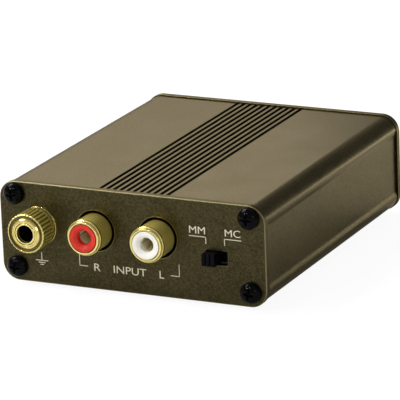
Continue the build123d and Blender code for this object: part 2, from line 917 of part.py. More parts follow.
film_pitch_x = (field_width - film_length) / (film_columns - 1)
film_middle = (0, film_row_y)
with BuildPart() as film_capacitors:
    with BuildSketch(on_board):
        with Locations(film_middle):
            with GridLocations(film_pitch_x, film_pitch_y, film_columns, film_rows):
                Rectangle(film_length, film_breadth)
    extrude(amount=film_height)
    fillet(film_capacitors.edges().filter_by(Axis.Z), film_round)
save(film_capacitors, "film_capacitors")


def resistor_body():
    """A waisted body lying along Y with its lowest side on the origin's plane."""
    half = resistor_length / 2
    shoulder = resistor_cap + (resistor_radius - resistor_waist)
    middle = Plane((0, 0, resistor_radius))
    with BuildPart() as body:
        with BuildSketch(middle):
            with BuildLine():
                Polyline(
                    (0, -half),
                    (resistor_radius, -half),
                    (resistor_radius, resistor_cap - half),
                    (resistor_waist, shoulder - half),
                    (resistor_waist, half - shoulder),
                    (resistor_radius, half - resistor_cap),
                    (resistor_radius, half),
                    (0, half),
                    close=True,
                )
            make_face()
        revolve(axis=Axis(middle.origin, (0, 1, 0)))
        with BuildSketch(Plane(middle.origin, x_dir=(1, 0, 0), z_dir=(0, 1, 0))):
            Circle(resistor_lead_radius + fit_gap)
        extrude(amount=half, both=True, mode=Mode.SUBTRACT)
    return body.part


def resistor_lead():
    """A straight lead along Y through the body, with a leg down through the board at each end."""
    middle = Plane((0, 0, resistor_radius))
    with BuildPart() as lead:
        with BuildSketch(Plane(middle.origin, x_dir=(1, 0, 0), z_dir=(0, 1, 0))):
            Circle(resistor_lead_radius)
        extrude(amount=resistor_span / 2 + resistor_lead_radius, both=True)
        with BuildSketch(middle):
            with GridLocations(1, resistor_span, 1, 2):
                Circle(resistor_lead_radius)
        extrude(amount=under_board - resistor_radius)
    return lead.part


def can(diameter, height):
    """An electrolytic capacitor standing on the origin, with a rolled bead near its foot."""
    radius = diameter / 2
    with BuildPart() as body:
        with BuildSketch(Plane.XZ):
            with BuildLine():
                Polyline(
                    (0, 0),
                    (radius, 0),
                    (radius, can_bead_height - can_bead_depth),
                    (radius - can_bead_depth, can_bead_height),
                    (radius, can_bead_height + can_bead_depth),
                    (radius, height),
                    (0, height),
                    close=True,
                )
            make_face()
        revolve(axis=Axis.Z)
        fillet(body.edges().group_by(Axis.Z)[-1], can_round)
    return body.part


resistor_pitch = (field_width - 2 * resistor_inset) / (resistor_count - 1)
with BuildPart() as resistors:
    with Locations(on_board):
        with Locations((0, resistor_row_y)):
            with GridLocations(resistor_pitch, 1, resistor_count, 1):
                add(resistor_body())
save(resistors, "resistors")

with BuildPart() as resistor_leads:
    with Locations(on_board):
        with Locations((0, resistor_row_y)):
            with GridLocations(resistor_pitch, 1, resistor_count, 1):
                add(resistor_lead())
save(resistor_leads, "resistor_leads")

chip_spacing = field_width - chip_length - 2 * chip_inset
leg_row = chip_breadth / 2 + chip_leg_gap + chip_leg_thickness / 2
leg_height = chip_lift + chip_height / 2
with BuildPart() as amplifier_chips:
    with BuildSketch(on_board.offset(chip_lift)):
        with Locations((0, chip_row_y)):
            with GridLocations(chip_spacing, 1, 2, 1):
                Rectangle(chip_length, chip_breadth)
    extrude(amount=chip_height)
    with BuildSketch(on_board.offset(chip_lift + chip_height)):
        with Locations((-chip_length / 2, chip_row_y)):
            with GridLocations(chip_spacing, 1, 2, 1):
                Circle(chip_notch_radius)
    extrude(amount=-chip_notch_depth, mode=Mode.SUBTRACT)
save(amplifier_chips, "amplifier_chips")

with BuildPart() as chip_legs:
    for side in (-1, 1):
        with BuildSketch(on_board.offset(leg_height)):
            with Locations((0, chip_row_y + side * (leg_row - chip_leg_gap / 2))):
                with GridLocations(chip_spacing, 1, 2, 1):
                    with GridLocations(chip_pin_pitch, 1, chip_pins, 1):
                        Rectangle(chip_leg_width, chip_leg_gap + chip_leg_thickness)
        extrude(amount=chip_leg_thickness)
    with BuildSketch(on_board.offset(leg_height + chip_leg_thickness)):
        with Locations((0, chip_row_y)):
            with GridLocations(chip_spacing, 1, 2, 1):
                with GridLocations(chip_pin_pitch, 2 * leg_row, chip_pins, 2):
                    Rectangle(chip_leg_width, chip_leg_thickness)
    extrude(amount=under_board - leg_height - chip_leg_thickness)
save(chip_legs, "amplifier_chip_legs")

coupling_span = field_width - 2 * coupling_inset - coupling_diameter
coupling_pitch = coupling_span / (coupling_count - 1)
coupling_height = ceiling_height - board_height - coupling_headroom
with BuildPart() as coupling_capacitors:
    with Locations(on_board):
        with Locations((0, coupling_row_y)):
            with GridLocations(coupling_pitch, 1, coupling_count, 1):
                add(can(coupling_diameter, coupling_height))
save(coupling_capacitors, "coupling_capacitors")

supply_column_x = supply_wall_gap + supply_diameter / 2 - cavity_half_width
supply_height = ceiling_height - board_height - supply_headroom
with BuildPart() as supply_capacitors:
    with Locations(on_board):
        with Locations((supply_column_x, supply_column_y)):
            with GridLocations(1, supply_spacing, 1, 2):
                add(can(supply_diameter, supply_height))
save(supply_capacitors, "supply_capacitors")

regulator_column_x = cavity_half_width - regulator_wall_gap - regulator_radius
regulator_middle = (regulator_column_x, regulator_column_y)
with BuildPart() as voltage_regulators:
    with BuildSketch(on_board.offset(regulator_lift)):
        with Locations(regulator_middle):
            with GridLocations(1, regulator_spacing, 1, 2):
                Circle(regulator_radius)
                with Locations((-regulator_radius - regulator_flat, 0)):
                    Rectangle(2 * regulator_radius, 2 * regulator_radius, mode=Mode.SUBTRACT)
    extrude(amount=regulator_height)
save(voltage_regulators, "voltage_regulators")

with BuildPart() as regulator_legs:
    with BuildSketch(on_board.offset(regulator_lift)):
        with Locations(regulator_middle):
            with GridLocations(1, regulator_spacing, 1, 2):
                with GridLocations(1, regulator_leg_pitch, 1, 3):
                    Rectangle(regulator_leg, regulator_leg)
    extrude(amount=under_board - regulator_lift)
save(regulator_legs, "regulator_legs")

choke_x = choke_wall_gap + choke_radius - cavity_half_width
choke_foot = Plane(on_board.from_local_coords((choke_x, choke_y, 0)))
with BuildPart() as choke_core:
    with BuildSketch(choke_foot):
        Circle(choke_radius)
    extrude(amount=choke_flange)
    with BuildSketch(choke_foot.offset(choke_flange)):
        Circle(choke_core_radius)
    extrude(amount=choke_height - 2 * choke_flange)
    with BuildSketch(choke_foot.offset(choke_height)):
        Circle(choke_radius)
    extrude(amount=-choke_flange)
save(choke_core, "choke_core")

with BuildPart() as choke_winding:
    with BuildSketch(choke_foot.offset(choke_flange)):
        Circle(choke_winding_radius)
        Circle(choke_core_radius + fit_gap, mode=Mode.SUBTRACT)
    extrude(amount=choke_height - 2 * choke_flange)
save(choke_winding, "choke_winding")

# Circuit board, pierced for every lead: (place, left, right, outer face, thickness) of each
flat_leads = [
    (ground_spot, -solder_tag_leg / 2, solder_tag_leg / 2, -plate_thickness, -plate_thickness - hex_face),
    (socket_spot, -tail_width / 2, tail_width / 2, socket_back, tail_thickness),
    (socket_spot, -spring_width / 2, spring_width / 2, spring_leg_face, spring_thickness),
]
for spot in jack_spots.values():
    flat_leads.append((spot, -tail_width / 2, tail_width / 2, housing_back, tail_thickness))
    clip_face = housing_face + clip_thickness
    flat_leads.append((spot, -clip_leg_width / 2, clip_leg_width / 2, clip_face, clip_thickness))
for side in (-1, 1):
    leg_left = side * (frame_half_width - switch_sheet / 2) - switch_sheet / 2
    leg_face = (frame_face + frame_back + switch_leg_width) / 2
    flat_leads.append((switch_spot, leg_left, leg_left + switch_sheet, leg_face, switch_leg_width))
    lead_left = side * lamp_lead_spacing / 2 - lamp_lead / 2
    flat_leads.append((lamp_spot, lead_left, lead_left + lamp_lead, lamp_lead_face, lamp_lead))
for column in (-1, 0, 1):
    for back in (switch_pin_row, switch_pin_row + switch_pin_step):
        pin_left = column * switch_travel - switch_pin / 2
        pin_face = frame_back - back + switch_pin
        flat_leads.append((switch_spot, pin_left, pin_left + switch_pin, pin_face, switch_pin))
with BuildPart() as circuit_board:
    with BuildSketch(Plane((0, board_middle, board_bottom))):
        Rectangle(2 * board_half_width, board_rear - board_front)
    extrude(amount=board_thickness)
    for spot, left, right, face, thickness in flat_leads:
        way = rectangle_between(
            spot.offset(face + lead_gap),
            left - lead_gap,
            right + lead_gap,
            lead_end - spot.origin.Z,
            board_top + lead_gap - spot.origin.Z,
        )
        extrude(way, amount=-thickness - 2 * lead_gap, mode=Mode.SUBTRACT)
    with BuildSketch(on_board):
        with Locations((0, resistor_row_y)):
            with GridLocations(resistor_pitch, resistor_span, resistor_count, 2):
                Circle(resistor_lead_radius + lead_gap)
        with Locations((0, chip_row_y)):
            with GridLocations(chip_spacing, 1, 2, 1):
                with GridLocations(chip_pin_pitch, 2 * leg_row, chip_pins, 2):
                    Circle(chip_leg_width / 2 + lead_gap)
        with Locations(regulator_middle):
            with GridLocations(1, regulator_spacing, 1, 2):
                with GridLocations(1, regulator_leg_pitch, 1, 3):
                    Circle(regulator_leg / sqrt(2) + lead_gap)
    extrude(amount=-board_thickness, mode=Mode.SUBTRACT)
save(circuit_board, "circuit_board")
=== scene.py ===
# Phono preamp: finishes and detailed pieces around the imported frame.
# Values are in millimetres unless a note says otherwise; meshes are written in metres.

import math

import bpy
import numpy as np
from mathutils import Matrix, Vector
from mathutils.geometry import tessellate_polygon


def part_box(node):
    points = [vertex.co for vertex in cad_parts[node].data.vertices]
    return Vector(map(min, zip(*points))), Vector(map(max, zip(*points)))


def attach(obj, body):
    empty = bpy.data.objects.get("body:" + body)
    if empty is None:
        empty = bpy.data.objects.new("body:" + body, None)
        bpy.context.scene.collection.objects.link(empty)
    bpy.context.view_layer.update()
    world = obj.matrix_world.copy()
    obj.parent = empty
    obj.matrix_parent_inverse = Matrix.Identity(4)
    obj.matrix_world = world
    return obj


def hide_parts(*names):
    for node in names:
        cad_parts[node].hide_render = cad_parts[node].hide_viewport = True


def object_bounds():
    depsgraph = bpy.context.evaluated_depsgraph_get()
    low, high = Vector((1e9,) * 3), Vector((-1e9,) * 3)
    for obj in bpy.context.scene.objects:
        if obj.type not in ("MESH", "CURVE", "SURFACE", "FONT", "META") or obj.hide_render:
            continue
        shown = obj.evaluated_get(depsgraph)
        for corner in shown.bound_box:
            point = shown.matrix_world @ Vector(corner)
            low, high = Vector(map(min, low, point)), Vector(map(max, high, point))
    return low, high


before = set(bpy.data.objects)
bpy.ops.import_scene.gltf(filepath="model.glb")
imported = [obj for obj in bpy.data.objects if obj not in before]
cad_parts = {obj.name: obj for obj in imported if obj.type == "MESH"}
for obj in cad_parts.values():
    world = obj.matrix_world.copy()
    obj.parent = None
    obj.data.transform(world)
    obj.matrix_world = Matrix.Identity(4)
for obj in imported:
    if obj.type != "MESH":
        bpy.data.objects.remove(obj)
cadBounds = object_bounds()
print("frame loaded:", len(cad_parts), "nodes")

mm = 0.001
arcStep = 7  # most degrees between the points of a rounded corner
sharpAngle = 38  # degrees; corners under it are shaded smooth
leastMargin = 0.01  # a shorter run beside an arc gets no point of its own
leastArea = 1e-12  # a smaller triangle of a cap is left out
# painted shade: the mask's value in gaps and bores, which are painted dark
paintedShadeMask = 2.0  # the mask in gaps and bores
# local directions (across, up, outward) of a face, as rows in the frame's own directions
frontAxes = np.array([[1, 0, 0], [0, 0, 1], [0, -1, 0]], float)
rearAxes = np.array([[-1, 0, 0], [0, 0, 1], [0, 1, 0]], float)
floorAxes = np.eye(3)
sideAxes = np.array([[1, 0, 0], [0, -1, 0], [0, 0, -1]], float)


def boxOf(node):
    low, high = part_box(node)
    return np.array(low) / mm, np.array(high) / mm


plateLow, plateHigh = boxOf("front_plate")
rearLow, rearHigh = boxOf("rear_plate")
shellLow, shellHigh = boxOf("extrusion_shell")
frontFace = plateLow[1]
rearFace = rearHigh[1]
plateEnds = (("front", frontAxes, frontFace), ("rear", rearAxes, rearFace))
jackNames = ["input_right", "input_left", "output_right", "output_left"]


def spotOf(node, isFront):
    # the middle of a node, brought onto the outer face of its end plate
    low, high = boxOf(node)
    middle = (low + high) / 2
    return np.array([middle[0], frontFace if isFront else rearFace, middle[2]])


# Surfaces: arrays of points and faces

def gridQuads(rows, columns, wrapRows=False, wrapColumns=False):
    # a quad between neighbouring rows and columns; the last meets the first where it wraps
    row, column = np.meshgrid(
        np.arange(rows - (not wrapRows)), np.arange(columns - (not wrapColumns)), indexing="ij"
    )
    nextRow = (row + 1) % rows
    nextColumn = (column + 1) % columns
    corners = [(row, column), (row, nextColumn), (nextRow, nextColumn), (nextRow, column)]
    return np.stack([(r * columns + c).ravel() for r, c in corners], 1)


def surface(points, faces, along=None, mask=None):
    # along: mm run along a turned profile; mask: 1 where the material's second finish shows, and over 1
    # where painted shade darkens it
    blank = np.zeros(len(points))
    return {
        "points": points,
        "faces": faces,
        "along": blank if along is None else along,
        "mask": blank if mask is None else mask,
    }


def placed(shape, origin, axes):
    return {**shape, "points": shape["points"] @ axes + origin}


def rounded(corners, support=0.06):
    # an outline of (x, y, radius) corners: straight runs joined by tangent arcs,
    # with a point a little way before and after each arc that keeps the runs flat in shading
    places = np.array([corner[:2] for corner in corners], float)
    outline = []
    for index, (x, y, radius) in enumerate(corners):
        here = places[index]
        if radius == 0:
            outline.append(here)
            continue
        before = here - places[index - 1]
        after = places[(index + 1) % len(corners)] - here
        room = 0.45 * min(np.linalg.norm(before), np.linalg.norm(after))
        before = before / np.linalg.norm(before)
        after = after / np.linalg.norm(after)
        turn = math.atan2(before[0] * after[1] - before[1] * after[0], before @ after)
        reach = radius * abs(math.tan(turn / 2))
        margin = min(support, max(room - reach, 0))
        left = np.array([-before[1], before[0]]) * math.copysign(1, turn)
        centre = here - before * reach + left * radius
        first = math.atan2(-left[1], -left[0])
        steps = max(3, math.ceil(abs(turn) / math.radians(arcStep)))
        angle = first + turn * np.linspace(0, 1, steps + 1)
        arc = centre + radius * np.stack([np.cos(angle), np.sin(angle)], 1)
        if margin > leastMargin:
            outline.append(here - before * (reach + margin))
        outline.extend(arc)
        if margin > leastMargin:
            outline.append(here + after * (reach + margin))
    return np.array(outline)


def circle(x, y, radius, count=96):
    angle = np.linspace(0, 2 * np.pi, count, endpoint=False)
    return np.array([x, y]) + radius * np.stack([np.cos(angle), np.sin(angle)], 1)


def arcCorners(x, y, radius, start, end, steps=20):
    # points of an arc, as corners without a radius of their own
    angle = np.radians(np.linspace(start, end, steps + 1))
    return [(x + radius * math.cos(a), y + radius * math.sin(a), 0) for a in angle]


def lathe(profile, segments=96, closed=False, shape=None, masked=None):
    # revolves (radius, outward) points: (r cos a, r sin a, out), with the material to the
    # profile's left; shape(radius, out, angle) may move the points of the grid, and
    # masked(radius, out, angle) is 1 where the second finish shows and over 1 where painted shade
    # darkens it
    angle = np.linspace(0, 2 * np.pi, segments, endpoint=False)[None]
    radius = np.repeat(profile[:, :1], segments, 1)
    out = np.repeat(profile[:, 1:], segments, 1)
    run = np.linalg.norm(np.diff(profile, axis=0), axis=1)
    along = np.repeat(np.concatenate([[0], np.cumsum(run)]), segments)
    mask = np.broadcast_to(masked(radius, out, angle) if masked else 0.0, radius.shape).ravel()
    if shape:
        radius, out = shape(radius, out, angle)
    points = np.stack([radius * np.cos(angle), radius * np.sin(angle), out], 2).reshape(-1, 3)
    rows = len(profile)
    quads = gridQuads(rows, segments, closed, True)
    if closed:
        return surface(points, [quads], along, mask)
    # the first and last rows lie on the axis: one point and a fan each
    column = np.arange(segments)
    nextColumn = (column + 1) % segments
    last = (rows - 1) * segments
    foot = np.full(segments, 0)
    tip = np.full(segments, last)
    startFan = np.stack([foot, segments + nextColumn, segments + column], 1)
    endFan = np.stack([last - segments + column, last - segments + nextColumn, tip], 1)
    return surface(points, [quads[segments:-segments], startFan, endFan], along, mask)


def outwardNormals(outline):
    # mitred normals of a counterclockwise outline
    ahead = np.roll(outline, -1, 0) - outline
    ahead = ahead / np.linalg.norm(ahead, axis=1, keepdims=True)
    middle = ahead + np.roll(ahead, 1, 0)
    middle = middle / np.linalg.norm(middle, axis=1, keepdims=True)
    share = np.sum(middle * ahead, 1, keepdims=True)
    return np.stack([middle[:, 1], -middle[:, 0]], 1) / share


def edgeRings(edge, rim=0.05, steps=5):
    # (inset, depth, on the round) of the rings of a quarter round, with a narrow flat each side
    if edge == 0:
        return np.zeros(1), np.zeros(1), np.zeros(1)
    angle = np.linspace(0, np.pi / 2, steps + 1)
    inset = np.concatenate([[edge + rim], edge * (1 - np.sin(angle)), [0]])
    depth = np.concatenate([[0], edge * (1 - np.cos(angle)), [edge + rim]])
    return inset, depth, np.concatenate([[0], np.ones(steps + 1), [0]])


def prism(outlines, low, high, edges, wearAndSheen=0.0):
    # a slab between two heights: the first outline is its outside, the others are holes,
    # edges gives the rounding at the low and the high end of each, and wearAndSheen how much of the
    # second finish shows on the roundings, for all or for each: a lighter edge, partly worn bare and
    # partly painted highlight
    points, faces, masks, lowRings, highRings, start = [], [], [], [], [], 0
    wearAndSheen = np.broadcast_to(wearAndSheen, len(outlines))
    for number, (outline, (lowEdge, highEdge)) in enumerate(zip(outlines, edges)):
        inward = outwardNormals(outline) * (1 if number else -1)
        lowInset, lowDepth, lowRound = edgeRings(lowEdge)
        highInset, highDepth, highRound = edgeRings(highEdge)
        inset = np.concatenate([lowInset, highInset[::-1]])[:, None, None]
        height = np.concatenate([low + lowDepth, high - highDepth[::-1]])[:, None, None]
        onRound = np.concatenate([lowRound, highRound[::-1]])
        masks.append(np.repeat(onRound * wearAndSheen[number], len(outline)))
        flat = outline[None] + inward[None] * inset
        ring = np.concatenate([flat, np.broadcast_to(height, flat.shape[:2] + (1,))], 2)
        quads = gridQuads(len(inset), len(outline), False, True) + start
        faces.append(quads[:, ::-1] if number else quads)
        points.append(ring.reshape(-1, 3))
        lowRings.append(start + np.arange(len(outline)))
        start += ring.shape[0] * ring.shape[1]
        highRings.append(start - len(outline) + np.arange(len(outline)))
    points = np.concatenate(points)
    for rings, isHigh in ((lowRings, False), (highRings, True)):
        loops = [[Vector((x, y, 0)) for x, y, z in points[ring]] for ring in rings]
        triangles = np.concatenate(rings)[np.array(tessellate_polygon(loops))]
        a, b, c = (points[triangles[:, k], :2] for k in range(3))
        area = (b - a)[:, 0] * (c - a)[:, 1] - (b - a)[:, 1] * (c - a)[:, 0]
        hasArea = np.abs(area) > leastArea
        triangles = triangles[hasArea]
        wrong = (area[hasArea] > 0) != isHigh
        triangles[wrong] = triangles[wrong][:, ::-1]
        faces.append(triangles)
    return surface(points, faces, mask=np.concatenate(masks))


def addObject(name, data):
    thing = bpy.data.objects.new(name, data)
    bpy.context.scene.collection.objects.link(thing)
    return thing


def addPiece(name, shapes, body, material, nodes=()):
    # one object from placed surfaces: rounds are smooth, corners over sharpAngle stay sharp
    points = np.concatenate([shape["points"] for shape in shapes]) * mm
    start, faces = 0, []
    for shape in shapes:
        faces += [part + start for part in shape["faces"]]
        start += len(shape["points"])
    corners = np.concatenate([part.ravel() for part in faces])
    sizes = np.concatenate([np.full(len(part), part.shape[1]) for part in faces])
    used, corners = np.unique(corners, return_inverse=True)
    mesh = bpy.data.meshes.new(name)
    mesh.vertices.add(len(used))
    mesh.vertices.foreach_set("co", points[used].ravel())
    mesh.loops.add(len(corners))
    mesh.loops.foreach_set("vertex_index", corners.ravel())
    mesh.polygons.add(len(sizes))
    mesh.polygons.foreach_set("loop_start", np.concatenate([[0], np.cumsum(sizes)[:-1]]))
    mesh.polygons.foreach_set("use_smooth", np.ones(len(sizes), bool))
    mesh.update(calc_edges=True)
    for label in ("along", "mask"):
        values = np.concatenate([shape[label] for shape in shapes])[used]
        mesh.attributes.new(label, "FLOAT", "POINT").data.foreach_set("value", values)
    mesh.set_sharp_from_angle(angle=math.radians(sharpAngle))
    mesh.materials.append(material)
    piece = addObject(name, mesh)
    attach(piece, body)
    if nodes:
        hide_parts(*nodes)


# Materials

def feed(tree, socket, value):
    # a socket takes another node's output, a number, or a colour as a tuple
    if isinstance(value, bpy.types.NodeSocket):
        tree.links.new(value, socket)
    else:
        socket.default_value = (*value, 1) if isinstance(value, tuple) else value


def addNode(tree, kind, group=None, **inputs):
    # a shader node; its inputs are named with _ for a space
    node = tree.nodes.new("ShaderNode" + kind)
    if group:
        node.node_tree = group
    for label, value in inputs.items():
        feed(tree, node.inputs[label.replace("_", " ")], value)
    return node


def mathNode(tree, operation, first, second):
    node = addNode(tree, "Math")
    node.operation = operation
    for socket, value in zip(node.inputs, (first, second)):
        feed(tree, socket, value)
    return node.outputs[0]


def objectPlace(tree):
    return addNode(tree, "TexCoord").outputs["Object"]


def placeAlong(tree, axis):
    # metres along one of the frame's axes
    return addNode(tree, "SeparateXYZ", Vector=objectPlace(tree)).outputs[axis]


def pointValue(tree, label):
    # what addPiece keeps on the mesh's points under this name
    node = addNode(tree, "Attribute")
    node.attribute_name = label
    return node.outputs["Fac"]


def nodeGroup(name, inputs, outputs):
    tree = bpy.data.node_groups.new(name, "ShaderNodeTree")
    for label, value in inputs:
        socket = tree.interface.new_socket(label, in_out="INPUT", socket_type="NodeSocketFloat")
        socket.default_value = value
    for label in outputs:
        tree.interface.new_socket(label, in_out="OUTPUT", socket_type="NodeSocketFloat")
    return tree, tree.nodes.new("NodeGroupInput"), tree.nodes.new("NodeGroupOutput")


def makeGrainGroup():
    # blasted or moulded grain: fine noise and slow clouds over the piece
    tree, given, result = nodeGroup(
        "surface grain", [("Grain Scale", 4000), ("Cloud Scale", 120)], ["Grain", "Cloud"]
    )
    place = objectPlace(tree)
    for label, detail in (("Grain", 2.0), ("Cloud", 3.0)):
        scale = given.outputs[label + " Scale"]
        noise = addNode(tree, "TexNoise", Vector=place, Scale=scale, Detail=detail)
        feed(tree, result.inputs[label], noise.outputs["Fac"])
    return tree


def makeLinesGroup():
    # lines left by turning: noise that changes only along the turned profile
    tree, given, result = nodeGroup("turned lines", [("Lines Per mm", 6)], ["Lines"])
    noise = addNode(tree, "TexNoise", Scale=1, Detail=2)
    noise.noise_dimensions = "1D"
    lines = mathNode(tree, "MULTIPLY", pointValue(tree, "along"), given.outputs[0])
    feed(tree, noise.inputs["W"], lines)
    feed(tree, result.inputs["Lines"], noise.outputs["Fac"])
    return tree


def makeSecondGroup():
    # from the piece's own mask: the second finish is min(mask, 1) * (1 - breakUp * fine noise),
    # and the painted shade of gaps, bores and grooves is max(mask - 1, 0)
    tree, given, result = nodeGroup(
        "second finish", [("Break Up", 0.3), ("Scale", 2500)], ["Second", "Painted Shade"]
    )
    mask = pointValue(tree, "mask")
    noise = addNode(tree, "TexNoise", Vector=objectPlace(tree), Scale=given.outputs["Scale"])
    loss = mathNode(tree, "MULTIPLY", noise.outputs["Fac"], given.outputs["Break Up"])
    share = mathNode(tree, "SUBTRACT", 1.0, loss)
    second = mathNode(tree, "MULTIPLY", mathNode(tree, "MINIMUM", mask, 1.0), share)
    paintedShade = mathNode(tree, "MAXIMUM", mathNode(tree, "SUBTRACT", mask, 1.0), 0.0)
    feed(tree, result.inputs["Second"], second)
    feed(tree, result.inputs["Painted Shade"], paintedShade)
    return tree


grainGroup = makeGrainGroup()
linesGroup = makeLinesGroup()
secondGroup = makeSecondGroup()
grainShare = 0.72
# the colour of the painted shade in gaps, bores and grooves
paintedShadeColour = (0.010, 0.008, 0.003)  # in gaps and bores


def newMaterial(name, **constants):
    # a Principled surface; constants go on the shader's own sockets, with _ for a space
    material = bpy.data.materials.new(name)
    material.use_nodes = True
    tree = material.node_tree
    shader = tree.nodes["Principled BSDF"]
    for label, value in constants.items():
        feed(tree, shader.inputs[label.replace("_", " ")], value)
    return material, tree, shader


def ramp(tree, factor, stops):
    # a colour ramp from (place, colour or grey) stops
    node = addNode(tree, "ValToRGB", Fac=factor)
    while len(node.color_ramp.elements) < len(stops):
        node.color_ramp.elements.new(0.5)
    for element, (place, colour) in zip(node.color_ramp.elements, stops):
        element.position = place
        element.color = (*colour, 1) if isinstance(colour, tuple) else (colour, colour, colour, 1)
    return node.outputs["Color"]


def addBump(tree, shader, height, depth):
    # depth in metres
    bump = addNode(tree, "Bump", Strength=1.0, Distance=depth, Height=height)
    feed(tree, shader.inputs["Normal"], bump.outputs["Normal"])


def mixColour(tree, factor, first, second):
    # first where the factor is 0 and second where it is 1
    node = addNode(tree, "Mix")
    node.data_type = "RGBA"
    for number, value in ((0, factor), (6, first), (7, second)):
        feed(tree, node.inputs[number], value)
    return node.outputs[2]


def linkFinish(tree, shader, colour, roughness, second):
    # colour and roughness, and over them the second finish of (colour, roughness, metallic)
    if second:
        where = addNode(tree, "Group", secondGroup)
        mask = where.outputs["Second"]
        colour = mixColour(tree, mask, colour, second[0])
        # painted shade: the colour goes towards the shade colour where the mask passes 1
        colour = mixColour(tree, where.outputs["Painted Shade"], colour, paintedShadeColour)
        roughness = mixColour(tree, mask, roughness, (second[1],) * 3)
        metallic = (shader.inputs["Metallic"].default_value,) * 3
        feed(tree, shader.inputs["Metallic"], mixColour(tree, mask, metallic, (second[2],) * 3))
    feed(tree, shader.inputs["Base Color"], colour)
    feed(tree, shader.inputs["Roughness"], roughness)


def makeGrained(name, dark, light, rough, grainScale, cloudScale, grainDepth, second=None, **constants):
    # a surface whose colour, roughness and bump follow the grain; the colour's place between
    # dark and light is share * grain + (1 - share) * cloud
    material, tree, shader = newMaterial(name, **constants)
    group = addNode(tree, "Group", grainGroup, Grain_Scale=grainScale, Cloud_Scale=cloudScale)
    grain, cloud = group.outputs["Grain"], group.outputs["Cloud"]
    fine = mathNode(tree, "MULTIPLY", grain, grainShare)
    slow = mathNode(tree, "MULTIPLY", cloud, 1 - grainShare)
    colour = ramp(tree, mathNode(tree, "ADD", fine, slow), [(0.36, dark), (0.64, light)])
    roughness = ramp(tree, cloud, [(0.3, rough[0]), (0.7, rough[1])])
    linkFinish(tree, shader, colour, roughness, second)
    addBump(tree, shader, grain, grainDepth)
    return material


def clouds(tree, scale, grainScale=1500):
    return addNode(tree, "Group", grainGroup, Grain_Scale=grainScale, Cloud_Scale=scale).outputs["Cloud"]


def makeTurned(name, dark, light, rough, linesPerMm, lineDepth, second=None, **constants):
    # plated metal with turned lines and a slow change of tone
    material, tree, shader = newMaterial(name, **constants)
    lines = addNode(tree, "Group", linesGroup, Lines_Per_mm=linesPerMm).outputs["Lines"]
    colour = ramp(tree, clouds(tree, 260, 2500), [(0.35, dark), (0.65, light)])
    roughness = ramp(tree, lines, [(0.3, rough[0]), (0.7, rough[1])])
    linkFinish(tree, shader, colour, roughness, second)
    addBump(tree, shader, lines, lineDepth)
    return material


